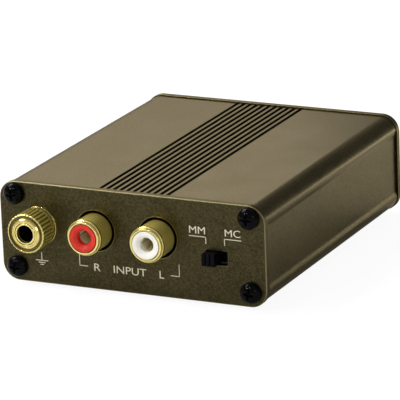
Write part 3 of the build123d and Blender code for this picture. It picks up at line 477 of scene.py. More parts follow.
finish = {
    "plate": makeGrained(
        "anodised_plate", (0.037, 0.031, 0.014), (0.078, 0.066, 0.030), (0.36, 0.44), 2600, 150, 7e-6,
        ((0.27, 0.235, 0.13), 0.30, 1.0), Metallic=1.0, Specular_Tint=(1.0, 0.90, 0.70),
    ),
    "shell": makeGrained(
        "anodised_shell", (0.043, 0.037, 0.018), (0.102, 0.088, 0.044), (0.28, 0.35), 2600, 90, 8e-6,
        ((0.20, 0.17, 0.11), 0.30, 1.0), Metallic=1.0, Specular_Tint=(1.0, 0.90, 0.74),
    ),
    # polished noses and rings, satin barrels and ribs
    "gold": makeTurned(
        "gold_plating", (0.74, 0.62, 0.22), (0.84, 0.72, 0.30), (0.11, 0.21), 7, 1.2e-6,
        ((0.76, 0.62, 0.14), 0.34, 0.62), Metallic=1.0,
    ),
    "screw": makeGrained(
        "black_oxide", (0.0008, 0.0008, 0.0012), (0.0016, 0.0016, 0.0022), (0.06, 0.09), 3000, 400, 1e-6,
        Specular_IOR_Level=0.065,
    ),
    "knob": makeGrained(
        "moulded_black", (0.001, 0.001, 0.002), (0.0025, 0.0025, 0.004), (0.34, 0.46), 5000, 500, 2e-6,
        Specular_IOR_Level=0.06,
    ),
    "red": makeGrained(
        "red_insert", (0.56, 0.025, 0.012), (0.66, 0.036, 0.018), (0.38, 0.48), 3000, 300, 1.5e-6,
        Specular_IOR_Level=0.25, Subsurface_Weight=0.15, Subsurface_Scale=0.0006,
    ),
    "white": makeGrained(
        "white_insert", (0.84, 0.82, 0.73), (0.89, 0.87, 0.79), (0.38, 0.48), 3000, 300, 1.5e-6,
        Specular_IOR_Level=0.25, Subsurface_Weight=0.15, Subsurface_Scale=0.0006,
    ),
    "spring": makeTurned(
        "plated_spring", (0.76, 0.68, 0.42), (0.86, 0.78, 0.52), (0.34, 0.46), 9, 1e-6, Metallic=0.2
    ),
    # a near-black finish on the jacks' ground clips that paints the shade in the gap round each barrel
    "paintedShadeClip": makeGrained(
        "clip_painted_shade", (0.010, 0.009, 0.007), (0.020, 0.018, 0.014), (0.50, 0.62), 3000, 300, 2e-6,
        Metallic=1.0,
    ),
    "contact": makeTurned(
        "tinned_contact", (0.60, 0.58, 0.52), (0.72, 0.70, 0.64), (0.22, 0.34), 9, 1e-6, Metallic=1.0
    ),
    "zinc": makeGrained(
        "zinc_plated_steel", (0.50, 0.50, 0.47), (0.64, 0.64, 0.60), (0.28, 0.42), 2500, 200, 2e-6,
        Metallic=1.0,
    ),
    "nickel": makeGrained(
        "nickel_plated_pin", (0.62, 0.60, 0.55), (0.72, 0.70, 0.66), (0.10, 0.18), 2500, 200, 5e-7,
        Metallic=1.0,
    ),
    "rubber": makeGrained(
        "foot_rubber", (0.018, 0.018, 0.017), (0.030, 0.030, 0.028), (0.62, 0.78), 2200, 200, 1.2e-5
    ),
    "housing": makeGrained(
        "moulded_housing", (0.014, 0.014, 0.015), (0.026, 0.026, 0.027), (0.42, 0.56), 3500, 200, 4e-6
    ),
    "phenolic": makeGrained(
        "phenolic_sheet", (0.12, 0.055, 0.025), (0.20, 0.10, 0.05), (0.45, 0.6), 1800, 300, 5e-6
    ),
    "board": makeGrained(
        "board_mask", (0.010, 0.10, 0.035), (0.018, 0.15, 0.055), (0.22, 0.34), 900, 120, 6e-6
    ),
    "film": makeGrained(
        "film_capacitor_case", (0.40, 0.045, 0.022), (0.52, 0.070, 0.035), (0.34, 0.46), 1800, 200, 3e-6
    ),
    "chip": makeGrained(
        "moulded_epoxy", (0.012, 0.012, 0.012), (0.024, 0.024, 0.024), (0.55, 0.7), 5000, 300, 6e-6
    ),
    "ferrite": makeGrained(
        "pressed_ferrite", (0.03, 0.03, 0.032), (0.055, 0.055, 0.058), (0.6, 0.8), 2600, 300, 1e-5
    ),
    "print": makeGrained(
        "print_ink", (0.58, 0.54, 0.38), (0.67, 0.63, 0.46), (0.5, 0.6), 5000, 600, 1e-6
    ),
}
print("materials made")


# Case shell: one outline with grooves along the top and a shallow recess in each side, and the
# cavity with its screw channels and board rails
shellValues = {
    "cornerRadius": 3.7,
    "recessDepth": 0.4,
    "recessSlope": 1.3,
    "recessLow": 5.45,
    "recessHigh": 19.95,
    "recessBlend": 2.0,
    "cornerStart": 15.5,  # degrees round each corner's arc, where the slope's blend ends
    "grooveCount": 11,
    "groovePitch": 1.625,
    "grooveMouth": 0.86,
    "grooveFloor": 0.70,
    "grooveDepth": 0.80,
    "grooveRounds": (0.07, 0.07),  # at the mouth and at the floor
    "flatLead": 0.3,  # keeps the flats beside the corners flat in shading
    "topWall": 2.0,
    "bottomWall": 1.5,
    "cavityHalf": 29.65,
    "bossRadius": 2.2,
    "boreRadius": 1.3,
    "screwX": 28.5,
    "screwLow": 4.55,
    "screwHigh": 21.35,
    "railX": 28.35,
    "rails": (6.8, 8.6, 9.3),  # floor and roof of the board's slot, and the top of its upper rail
    "endEdge": 0.12,
    # lighter roundings at the ends: partly worn bare edge, partly painted highlight
    "endWearAndSheen": 0.4,
}


def mirrored(corners):
    # the same corners on the left side, in the order that keeps the outline counterclockwise
    return [(-x, y, radius) for x, y, radius in corners[::-1]]


def grooveCorners(v, level):
    # evenly spaced grooves cut down from a level, from right to left
    mouth, floor, bottom = v["grooveMouth"] / 2, v["grooveFloor"] / 2, level - v["grooveDepth"]
    mouthRound, floorRound = v["grooveRounds"]
    corners = []
    for number in range(v["grooveCount"]):
        x = ((v["grooveCount"] - 1) / 2 - number) * v["groovePitch"]
        corners += [
            (x + mouth, level, mouthRound), (x + floor, bottom, floorRound),
            (x - floor, bottom, floorRound), (x - mouth, level, mouthRound),
        ]
    return corners


def shellOutline(v):
    half, low, high = shellHigh[0], shellLow[2], shellHigh[2]
    radius, floor = v["cornerRadius"], half - v["recessDepth"]
    slope, blend = v["recessSlope"] / 2, v["recessBlend"]

    def meeting(rise):
        # where a slope runs into its corner's arc
        return half - radius + math.sqrt(radius ** 2 - rise ** 2)

    right = [(half - radius - v["flatLead"], low, 0)]
    right += arcCorners(half - radius, low + radius, radius, -90, -v["cornerStart"])
    right += [
        (meeting(low + radius - v["recessLow"] + slope), v["recessLow"] - slope, blend),
        (floor, v["recessLow"] + slope, blend),
        (floor, v["recessHigh"] - slope, blend),
        (meeting(v["recessHigh"] + slope - high + radius), v["recessHigh"] + slope, blend),
    ]
    right += arcCorners(half - radius, high - radius, radius, v["cornerStart"], 90)
    right += [(half - radius - v["flatLead"], high, 0)]
    return rounded(right + grooveCorners(v, high) + mirrored(right))


def cavityOutline(v):
    floor, ceiling = shellLow[2] + v["bottomWall"], shellHigh[2] - v["topWall"]
    x, radius, wall, rail = v["screwX"], v["bossRadius"], v["cavityHalf"], v["railX"]

    def angle(dy, dx):
        return math.degrees(math.atan2(dy, dx))

    side = math.sqrt(radius ** 2 - (v["screwLow"] - floor) ** 2)
    start = angle(floor - v["screwLow"], -side) - 360 * (floor > v["screwLow"])
    railTop = math.sqrt(radius ** 2 - (x - rail) ** 2)
    right = arcCorners(x, v["screwLow"], radius, start + 360, angle(railTop, rail - x))
    slotLow, slotHigh, railHigh = v["rails"]
    right += [(rail, slotLow, 0), (wall, slotLow, 0), (wall, slotHigh, 0)]
    right += [(rail, slotHigh, 0), (rail, railHigh, 0), (wall, railHigh, 0)]
    drop = math.sqrt(radius ** 2 - (wall - x) ** 2)
    side = math.sqrt(radius ** 2 - (ceiling - v["screwHigh"]) ** 2)
    end = angle(ceiling - v["screwHigh"], -side) - 360
    right += arcCorners(x, v["screwHigh"], radius, angle(-drop, wall - x), end)
    return np.array([corner[:2] for corner in right + mirrored(right)])


def screwSpots():
    # where the four screws of an end are, across and up
    v = shellValues
    heights = v["screwLow"], v["screwHigh"]
    return [(side * v["screwX"], height) for side in (-1, 1) for height in heights]


def makeCaseShell(v):
    outlines = [shellOutline(v), cavityOutline(v)]
    outlines += [circle(x, height, v["boreRadius"], 32) for x, height in screwSpots()]
    edges = [(v["endEdge"], v["endEdge"])] + [(0, 0)] * (len(outlines) - 1)
    body = prism(outlines, -shellHigh[1], -shellLow[1], edges, v["endWearAndSheen"])
    addPiece(
        "case_shell", [placed(body, np.zeros(3), frontAxes)], "chassis", finish["shell"],
        ["extrusion_shell"],
    )


makeCaseShell(shellValues)
print("case shell made")


# End plates: rounded slabs with a soft outer edge, pierced for what comes through
plateValues = {
    "cornerRadius": 4.0,
    "outerEdge": 0.20,
    "innerEdge": 0.05,
    "jackHole": 4.65,
    "jackEdge": 0.15,
    "postHole": 2.6,
    "screwHole": 1.4,
    "smallEdge": 0.05,
    "slotCorner": 0.25,
    "slotWidth": 5.3,
    "slotHeight": 3.3,
    "slotShift": 1.0,
    "socketHole": 4.15,
    "socketDrop": 4.8,
    "lampHole": 1.55,
    # lighter roundings at the outer edge and round the holes: partly worn bare edge, partly painted
    # highlight
    "outerWearAndSheen": 0.75,
    "holeWearAndSheen": 0.9,
}


def rectangle(left, right, bottom, top, radius):
    corners = ((left, bottom), (right, bottom), (right, top), (left, top))
    return rounded([(x, y, radius) for x, y in corners])


def holeAround(node, isFront, radius, edge, count=96):
    # seen from behind, across runs the other way
    spot = spotOf(node, isFront)
    return circle(spot[0] if isFront else -spot[0], spot[2], radius, count), edge


def addPlate(v, isFront, holes):
    end, axes, face = plateEnds[not isFront]
    low, high = (plateLow, plateHigh) if isFront else (rearLow, rearHigh)
    outlines = [rectangle(low[0], high[0], low[2], high[2], v["cornerRadius"])]
    edges = [(v["innerEdge"], v["outerEdge"])]
    screwHoles = [(circle(x, y, v["screwHole"], 40), v["smallEdge"]) for x, y in screwSpots()]
    for outline, edge in screwHoles + holes:
        outlines.append(outline)
        edges.append((0, edge))
    wearAndSheen = [v["outerWearAndSheen"]] + [v["holeWearAndSheen"]] * (len(outlines) - 1)
    slab = placed(prism(outlines, low[1] - high[1], 0, edges, wearAndSheen), np.array([0, face, 0]), axes)
    addPiece(end + "_end_plate", [slab], "chassis", finish["plate"], [end + "_plate"])


def makePlates(v):
    small = v["smallEdge"]
    jackSize = v["jackHole"], v["jackEdge"]
    knob = spotOf("switch_knob", True)
    slotX = knob[0] + v["slotShift"]
    wide, tall = v["slotWidth"] / 2, v["slotHeight"] / 2
    slot = rectangle(slotX - wide, slotX + wide, knob[2] - tall, knob[2] + tall, v["slotCorner"])
    holes = [holeAround(name + "_shell", True, *jackSize) for name in jackNames[:2]]
    holes += [holeAround("ground_thumb_nut", True, v["postHole"], small, 64), (slot, small)]
    addPlate(v, True, holes)
    low, high = boxOf("dc_socket_housing")
    socket = circle(-(low[0] + high[0]) / 2, high[2] - v["socketDrop"], v["socketHole"])
    holes = [holeAround(name + "_shell", False, *jackSize) for name in jackNames[2:]]
    holes += [(socket, small), holeAround("power_lamp", False, v["lampHole"], small, 48)]
    addPlate(v, False, holes)


makePlates(plateValues)
print("end plates made")


# Case screws: domed heads with a tapered cross recess on threaded shanks
screwValues = {
    "headRadius": 2.4,
    "headHeight": 1.9,
    "headSide": 0.5,
    "shankRadius": 1.25,
    "threadDepth": 0.18,
    "threadPitch": 0.45,
    "threadRows": 144,
    "length": 8.0,
    "tipTaper": 0.3,
    "crossReach": 1.35,
    "crossHalfWidth": 0.34,
    "crossWall": 0.12,
    "crossDepth": 1.0,
    "turns": (4, -7, 10, 2, 15, -20, 33, 8),
}


def threadCut(out, angle, pitch):
    # 0 on a thread's crest and 1 in its valley: |(out / pitch - turns) mod 1 - 1/2| * 2
    return np.abs((out / pitch - angle / (2 * np.pi)) % 1 - 0.5) * 2


def screwShape(v, turn):
    # dome: side + (height - side) * sqrt(1 - (r / R)^2); each arm of the cross is
    # depth * (1 - a / reach)^0.6 * clip((half width - b) / wall) for a along and b across it
    def shape(radius, out, angle):
        x = radius * np.cos(angle + turn)
        y = radius * np.sin(angle + turn)

        def arm(a, b):
            taper = np.clip(1 - np.abs(a) / v["crossReach"], 0, 1)
            half = v["crossHalfWidth"] * (0.55 + 0.45 * taper)
            return v["crossDepth"] * taper ** 0.6 * np.clip((half - np.abs(b)) / v["crossWall"], 0, 1)

        recess = np.maximum(arm(x, y), arm(y, x))
        onDome = out > v["headSide"]
        thread = threadCut(out, angle, v["threadPitch"])
        onShank = (np.abs(radius - v["shankRadius"]) < 0.01) & (out < -0.1)
        return radius - v["threadDepth"] * thread * onShank, out - recess * onDome

    rise = np.linspace(0, 1, 40)[1:]
    domeRadius = v["headRadius"] * np.cos(rise * np.pi / 2)
    domeRadius[-1] = 0
    domeOut = v["headSide"] + (v["headHeight"] - v["headSide"]) * np.sin(rise * np.pi / 2)
    shank = np.linspace(-v["length"] + v["tipTaper"], -0.1, v["threadRows"])
    profile = np.concatenate([
        [[0, -v["length"]], [v["shankRadius"] - v["tipTaper"], -v["length"]]],
        np.stack([np.full(len(shank), v["shankRadius"]), shank], 1),
        [[v["shankRadius"], 0], [v["headRadius"] - 0.12, 0], [v["headRadius"] - 0.04, 0.04]],
        [[v["headRadius"], 0.12], [v["headRadius"], v["headSide"] - 0.03]],
        np.stack([domeRadius, domeOut], 1),
    ])
    return lathe(profile, 72, shape=shape)


def makeScrews(v):
    turns = iter(np.radians(v["turns"]))
    for end, axes, face in plateEnds:
        shapes = [
            placed(screwShape(v, next(turns)), np.array([x, face, height]), axes)
            for x, height in screwSpots()
        ]
        name = end + "_screws"
        addPiece(name + "_domed", shapes, "chassis", finish["screw"], [name])


makeScrews(screwValues)
print("screws made")


# Rubber feet
footValues = {"radius": 4.0, "edge": 0.35, "dimpleRadius": 1.6, "dimpleDepth": 0.35}


def makeFeet(v):
    low, high = boxOf("rubber_feet")
    tall = high[2] - low[2]
    profile = rounded([
        (0, v["dimpleDepth"], 0),
        (v["dimpleRadius"], v["dimpleDepth"], 0.12),
        (v["dimpleRadius"] + 0.3, 0, 0.15),
        (v["radius"], 0, v["edge"]),
        (v["radius"], tall, 0.0),
        (0, tall, 0),
    ])
    foot = lathe(profile, 72)
    shapes = [
        placed(foot, np.array([x, y, low[2]]), floorAxes)
        for x in (low[0] + v["radius"], high[0] - v["radius"])
        for y in (low[1] + v["radius"], high[1] - v["radius"])
    ]
    addPiece("soft_feet", shapes, "chassis", finish["rubber"], ["rubber_feet"])


makeFeet(footValues)
print("feet made")


# Phono jacks: plated shell with a beaded nose, coloured insert with a dished mouth, slotted contact
jackValues = {
    "barrelRadius": 4.0,
    "beadRadius": 4.15,
    "beadLength": 1.15,
    "noseLength": 1.0,
    "noseSetback": 0.1,
    "lipRadius": 3.5,
    "lineTurn": 46,  # degrees round the nose
    "lineWidth": 13,
    "lineDepth": 0.14,
    # the painted shade along the nose's turned line, as mask over 1
    "lineShade": 1.9,
    "boreRadius": 3.32,
    "seat": 5.2,
    "insertRadius": 3.15,
    "dishRadius": 2.5,
    "dishDepth": 0.7,
    "dishPower": 1.5,
    "pinHole": 1.65,
    "contactWall": 0.45,
    "contactGap": 0.05,
    "contactLength": 12.0,
    "contactEnd": 0.6,
    "stemRadius": 0.6,
    "slitLength": 6.0,
    "slitAngle": 9,
    "tailWidth": 1.2,
    "tailThickness": 0.5,
}


def noseLine(v, turned):
    # a line turned into the nose: exp(-((t - place) / width)^2) for t degrees round it
    return np.exp(-(((turned - v["lineTurn"]) / v["lineWidth"]) ** 2))


def jackShell(v, reach):
    # nose: a quarter ellipse from the bead to the lip, (lip + (bead - lip) cos t, start + length
    # sin t), less depth * the line
    turn = np.linspace(0, np.pi / 2, 36)
    line = v["lineDepth"] * noseLine(v, np.degrees(turn))
    tip, beadStart = reach - v["noseSetback"], reach - v["beadLength"]
    radius = v["lipRadius"] + (v["beadRadius"] - v["lipRadius"]) * np.cos(turn) - line
    out = tip - v["noseLength"] * (1 - np.sin(turn)) - line
    corners = [
        (v["boreRadius"], -v["seat"], 0.05),
        (v["barrelRadius"], -v["seat"], 0.1),
        (v["barrelRadius"], -0.3, 0),
        (v["barrelRadius"], -0.05, 0),
        (v["barrelRadius"], beadStart, 0.05),
        (v["beadRadius"], beadStart, 0.04),
    ]
    corners += [(r, o, 0) for r, o in zip(radius, out)] + [(v["boreRadius"], tip, 0.07)]

    def masked(radius, out, angle):
        # 1 along the barrel, painted shade where it runs inside the plate and in the bore, and
        # lineShade * the line on the nose, a painted shade along the turned line
        isBarrel = (np.abs(radius - v["barrelRadius"]) < 0.08) & (out < beadStart + 0.01)
        isBore = (radius < v["boreRadius"] + 0.02) & (out < tip - 0.1)
        isNose = (out > beadStart) & (radius > v["boreRadius"] + 0.1)
        across = (radius - v["lipRadius"]) / (v["beadRadius"] - v["lipRadius"])
        turned = np.degrees(np.arctan2((out - tip) / v["noseLength"] + 1, across))
        line = v["lineShade"] * noseLine(v, turned) * isNose
        return isBarrel * (1.0 + (out < -0.2)) + paintedShadeMask * isBore + line

    return lathe(rounded(corners), 128, closed=True, masked=masked)


def jackInsert(v, reach, back, springFront):
    # dish: depth * ((rim - r) / (rim - hole))^power below the rim
    inner = v["pinHole"] + v["contactWall"] + v["contactGap"]
    step = springFront + v["contactGap"]
    share = np.linspace(0.06, 1, 14)
    radius = v["dishRadius"] - (v["dishRadius"] - v["pinHole"]) * share
    dish = reach - v["dishDepth"] * share ** v["dishPower"]
    corners = [(inner, back, 0), (v["insertRadius"], back, 0), (v["insertRadius"], reach, 0.10)]
    corners += [(r, o, 0) for r, o in zip(radius, dish)]
    corners += [(v["pinHole"], step, 0.03), (inner, step, 0)]
    return lathe(rounded(corners), 112, closed=True)


def slottedFinger(v, start, end, low, high):
    # one springy leaf of the contact: an arc of the tube's wall, closed all round
    inner, outer = v["pinHole"], v["pinHole"] + v["contactWall"]
    ring = np.array([(inner, low), (outer, low), (outer, high), (inner, high)])
    angle = np.linspace(start, end, 16)
    points = np.stack([
        ring[None, :, 0] * np.cos(angle)[:, None],
        ring[None, :, 0] * np.sin(angle)[:, None],
        np.repeat(ring[None, :, 1], len(angle), 0),
    ], 2).reshape(-1, 3)
    last = len(points) - 4
    caps = np.array([[0, 1, 2, 3], [last + 3, last + 2, last + 1, last]])
    return surface(points, [gridQuads(len(angle), 4, False, True)[:, ::-1], caps])


def jackContact(v, front, back, drop):
    slit = front - v["slitLength"]
    floor = front - v["contactLength"]
    outer = v["pinHole"] + v["contactWall"]
    half = math.radians(v["slitAngle"]) / 2
    foot = floor - v["contactEnd"]
    shapes = [
        slottedFinger(v, quarter * math.pi / 2 + half, (quarter + 1) * math.pi / 2 - half, slit, front)
        for quarter in range(4)
    ]
    shapes.append(lathe(np.array([
        (0, back), (v["stemRadius"], back), (v["stemRadius"], foot), (outer, foot),
        (outer, slit), (v["pinHole"], slit), (v["pinHole"], floor), (0, floor),
    ]), 64))
    wide = v["tailWidth"] / 2
    tail = rectangle(-wide, wide, drop, v["stemRadius"], 0.1)
    shapes.append(prism([tail], back, back + v["tailThickness"], [(0.05, 0.05)]))
    return shapes


def makeJacks(v):
    for name in jackNames:
        isFront = name.startswith("input")
        axes = frontAxes if isFront else rearAxes
        spot = spotOf(name + "_shell", isFront)
        # each part's furthest and nearest ends, outward from the plate's face
        ends = {
            part: sorted((boxOf(name + "_" + part)[end] - spot) @ axes[2] for end in (0, 1))
            for part in ("shell", "insert", "contact")
        }
        reach = ends["shell"][1]
        back = ends["insert"][0]
        tail, springFront = ends["contact"]
        drop = boxOf(name + "_contact")[0][2] - spot[2]
        colour = "red" if name.endswith("right") else "white"
        addPiece(
            name + "_jack_barrel", [placed(jackShell(v, reach), spot, axes)], "chassis", finish["gold"],
            [name + "_shell"],
        )
        core = placed(jackInsert(v, reach, back, springFront), spot, axes)
        addPiece(
            name + "_jack_core", [core], "chassis", finish[colour],
            [name + "_insert"],
        )
        spring = [placed(part, spot, axes) for part in jackContact(v, springFront, tail, drop)]
        addPiece(
            name + "_jack_spring", spring, "chassis", finish["spring"],
            [name + "_contact"],
        )


makeJacks(jackValues)
print("jacks made")


# Ground terminal: threaded hollow post, clamping washer and knurled thumb nut
groundValues = {
    "flangeRadius": 4.5,
    "flangeThickness": 0.5,
    "postRadius": 2.5,
    "postBore": 2.0,
    "boreDepth": 12.0,
    "threadPitch": 0.8,
    "threadDepth": 0.28,
    "washerRadius": 4.45,
    "washerGap": 0.02,
    "nutBore": 2.55,
    "nutRadius": 4.5,
    "nutChamfer": 0.20,
    "rim": 0.35,
    "rimDrop": 0.25,
    "rimShare": 0.3,
    "ribs": 32,
    "ribGap": 0.56,
    "ribWall": 0.16,
    "ribDepth": 0.28,
    # painted shade in the grooves between the ribs
    "ribShade": 0.7,
    "ringInner": 3.45,
    "ringOuter": 4.16,
    "ringDepth": 0.8,
    # painted shade in the ring's recess
    "ringShade": 0.85,
    "coneWidth": 0.34,
    "coneDepth": 0.28,
    "scoreRadius": 2.92,
    "scoreWidth": 0.14,
    "scoreDepth": 0.14,
}


def threadRows(v, low, high):
    height = np.arange(low, high, v["threadPitch"] / 10)
    return np.stack([np.full(len(height), v["postRadius"]), height], 1)


def postShape(v, back, reach):
    def shape(radius, out, angle):
        # the thread, flat on its crests and in its valleys, runs out near the flange and the ends
        cut = np.clip(threadCut(out, angle, v["threadPitch"]) * 1.5 - 0.3, 0, 1)
        ends = np.clip(np.minimum(reach - out, out - back) / 0.3 - 0.6, 0, 1)
        beside = np.clip(np.maximum(out - v["flangeThickness"], -out) / 0.2, 0, 1)
        isThread = np.abs(radius - v["postRadius"]) < 1e-6
        return radius - v["threadDepth"] * cut * ends * beside * isThread, out

    flange = rounded([
        (v["postRadius"], 0, 0),
        (v["flangeRadius"], 0, 0.05),
        (v["flangeRadius"], v["flangeThickness"], 0.12),
        (v["postRadius"], v["flangeThickness"], 0),
    ])
    post, bore = v["postRadius"], v["postBore"]
    profile = np.concatenate([
        [[0, back], [post - 0.3, back]],
        threadRows(v, back + 0.2, -0.05),
        flange,
        threadRows(v, v["flangeThickness"] + 0.05, reach - 0.25),
        [[post, reach - 0.22], [post - 0.05, reach - 0.1], [post - 0.14, reach - 0.02]],
        [[post - 0.2, reach], [bore + 0.1, reach], [bore + 0.03, reach - 0.03]],
        [[bore, reach - 0.1], [bore, reach - 0.3], [bore, reach - 1.0]],
        [[bore, reach - v["boreDepth"]], [0, reach - v["boreDepth"]]],
    ])

    def masked(radius, out, angle):
        # painted shade in the bore, from a little below its mouth
        return paintedShadeMask * ((radius < bore + 0.01) & (out < reach - 0.4) & (out > back + 0.1))

    return lathe(profile, 96, shape=shape, masked=masked)


def nutShape(v, low, high):
    rimFront = high - v["rimDrop"]
    pitch = 2 * np.pi / v["ribs"]

    def onSide(radius, out):
        # 1 on the ribbed side, fading to 0 at the rear rim and to rimShare at the front rim
        rear = np.clip((out - low - v["rim"]) / 0.08, 0, 1)
        front = np.clip((rimFront - 0.18 - out) / 0.15, v["rimShare"], 1)
        return np.clip((radius - v["ringOuter"] - 0.04) / 0.05, 0, 1) * rear * front

    def groove(angle):
        # 1 between the ribs: clip((gap / 2 - distance) / wall)
        distance = np.abs((angle / pitch) % 1 - 0.5) * pitch * v["nutRadius"]
        return np.clip((v["ribGap"] / 2 - distance) / v["ribWall"], 0, 1)

    def shape(radius, out, angle):
        moved = radius - v["ribDepth"] * groove(angle) * onSide(radius, out)
        return np.maximum(moved, np.minimum(radius, v["ringOuter"] + 0.05)), out

    def masked(radius, out, angle):
        # mask over 1 is painted shade: ringShade in the ring's recess, ribShade in the grooves between
        # the ribs
        inRing = (radius > v["ringInner"] - 0.01) & (radius < v["ringOuter"] + 0.01)
        inRing = inRing & (out < rimFront - 0.1)
        side = onSide(radius, out)
        ribs = np.minimum(side * 1.5, 1) * (1 + v["ribShade"] * groove(angle) * (side > 0.9))
        return np.maximum((1 + v["ringShade"]) * inRing, ribs)

    side = np.linspace(low + v["rim"] - 0.05, rimFront - v["nutChamfer"] - 0.15, 14)
    outer = rounded([
        (v["nutBore"], low, 0),
        (v["nutRadius"], low, 0.10),
        (v["nutRadius"], low + v["rim"] - 0.06, 0),
    ])
    front = rounded([
        (v["nutRadius"], rimFront - v["nutChamfer"] - 0.1, 0),
        (v["nutRadius"], rimFront - v["nutChamfer"], 0.10),
        (v["nutRadius"] - v["nutChamfer"], rimFront, 0.05),
        (v["ringOuter"], rimFront, 0.02),
        (v["ringOuter"], high - v["ringDepth"], 0.08),
        (v["ringInner"], high - v["ringDepth"], 0.08),
        (v["ringInner"], high - v["coneDepth"], 0.05),
        (v["ringInner"] - v["coneWidth"], high, 0.06),
        (v["scoreRadius"] + v["scoreWidth"] / 2, high, 0.03),
        (v["scoreRadius"], high - v["scoreDepth"], 0),
        (v["scoreRadius"] - v["scoreWidth"] / 2, high, 0.03),
        (v["nutBore"], high, 0.10),
        (v["nutBore"], (low + high) / 2, 0),
    ], 0.03)
    profile = np.concatenate([outer, np.stack([np.full(len(side), v["nutRadius"]), side], 1), front])
    return lathe(profile, v["ribs"] * 14, closed=True, shape=shape, masked=masked)


def makeGroundTerminal(v):
    spot = spotOf("ground_thumb_nut", True)
    post, washer, nut = (boxOf(name) for name in ("ground_post", "ground_washer", "ground_thumb_nut"))
    addPiece(
        "hollow_threaded_post",
        [placed(postShape(v, frontFace - post[1][1], frontFace - post[0][1]), spot, frontAxes)],
        "chassis", finish["gold"], ["ground_post"],
    )
    # a hair short of the nut, which turns on it
    low, high = frontFace - washer[1][1], frontFace - washer[0][1] - v["washerGap"]
    disc = lathe(rounded([
        (v["nutBore"], low, 0.05), (v["washerRadius"], low, 0.12),
        (v["washerRadius"], high, 0.12), (v["nutBore"], high, 0.05),
    ]), 112, closed=True)
    addPiece(
        "clamping_washer", [placed(disc, spot, frontAxes)], "ground_clamp", finish["gold"],
        ["ground_washer"],
    )
    nutBody = nutShape(v, frontFace - nut[1][1], frontFace - nut[0][1])
    addPiece(
        "knurled_thumb_nut", [placed(nutBody, spot, frontAxes)], "ground_nut", finish["gold"],
        ["ground_thumb_nut"],
    )


makeGroundTerminal(groundValues)
print("ground terminal made")


# Slide switch knob: a ribbed stem on the carriage that runs behind the plate
knobValues = {
    "width": 3.1,
    "height": 2.8,
    "edge": 0.22,
    "endEdge": 0.18,
    "grooveCount": 2,
    "groovePitch": 1.03,
    "grooveMouth": 0.42,
    "grooveFloor": 0.20,
    "grooveDepth": 0.34,
    "grooveRounds": (0.12, 0.06),
    "carriageThickness": 1.6,
    "carriageCorner": 0.2,
    "carriageEdge": 0.08,
}


def makeKnob(v):
    low, high = boxOf("switch_knob")
    middle = (low + high) / 2
    reach = frontFace - low[1]
    stemBack = frontFace - high[1] + v["carriageThickness"]
    half, tall = v["width"] / 2, v["height"] / 2
    corners = [(-half, stemBack, 0.02), (half, stemBack, 0.02), (half, reach, v["edge"])]
    corners += grooveCorners(v, reach) + [(-half, reach, v["edge"])]
    stem = prism([rounded(corners, 0.03)], -tall, tall, [(v["endEdge"], v["endEdge"])])
    left, _, bottom = low - middle
    right, _, top = high - middle
    carriage = rectangle(left, right, bottom, top, v["carriageCorner"])
    block = prism([carriage], frontFace - high[1], stemBack, [(v["carriageEdge"], v["carriageEdge"])])
    spot = np.array([middle[0], frontFace, middle[2]])
    addPiece(
        "ribbed_switch_knob", [placed(stem, spot, sideAxes), placed(block, spot, frontAxes)],
        "switch_slider", finish["knob"], ["switch_knob"],
    )


makeKnob(knobValues)
print("switch knob made")


# Power lamp: a round-nosed lens
lampValues = {
    "radius": 1.5, "flangeRadius": 1.9, "flangeThickness": 0.8, "plate": 1.5, "plateGap": 0.02,
    "tail": 1.6, "tailChamfer": 0.1,
}


def makeLamp(v):
    reach = boxOf("power_lamp")[1][1] - rearFace
    nose = np.linspace(0, np.pi / 2, 14)
    radius, flange, chamfer = v["radius"], v["flangeRadius"], v["tailChamfer"]
    back = -v["plate"] - v["flangeThickness"] - v["tail"]
    flangeBack, flangeFront = back + v["tail"], -v["plate"] - v["plateGap"]
    profile = np.concatenate([
        [[0, back], [radius - chamfer, back], [radius, back + chamfer]],
        [[radius, flangeBack], [flange, flangeBack], [flange, flangeFront]],
        [[radius, flangeFront], [radius, reach - radius - 0.1]],
        np.stack([radius * np.cos(nose), reach - radius + radius * np.sin(nose)], 1)[:-1],
        [[0, reach]],
    ])
    material, tree, shader = newMaterial(
        "clear_green_lens", Roughness=0.06, IOR=1.5, Transmission_Weight=0.55, Coat_Weight=0.3
    )
    colour = ramp(tree, clouds(tree, 400), [(0.3, (0.05, 0.38, 0.10)), (0.7, (0.08, 0.50, 0.15))])
    feed(tree, shader.inputs["Base Color"], colour)
    lens = placed(lathe(profile, 64), spotOf("power_lamp", False), rearAxes)
    addPiece("lamp_lens", [lens], "chassis", material, ["power_lamp"])


makeLamp(lampValues)
print("lamp made")


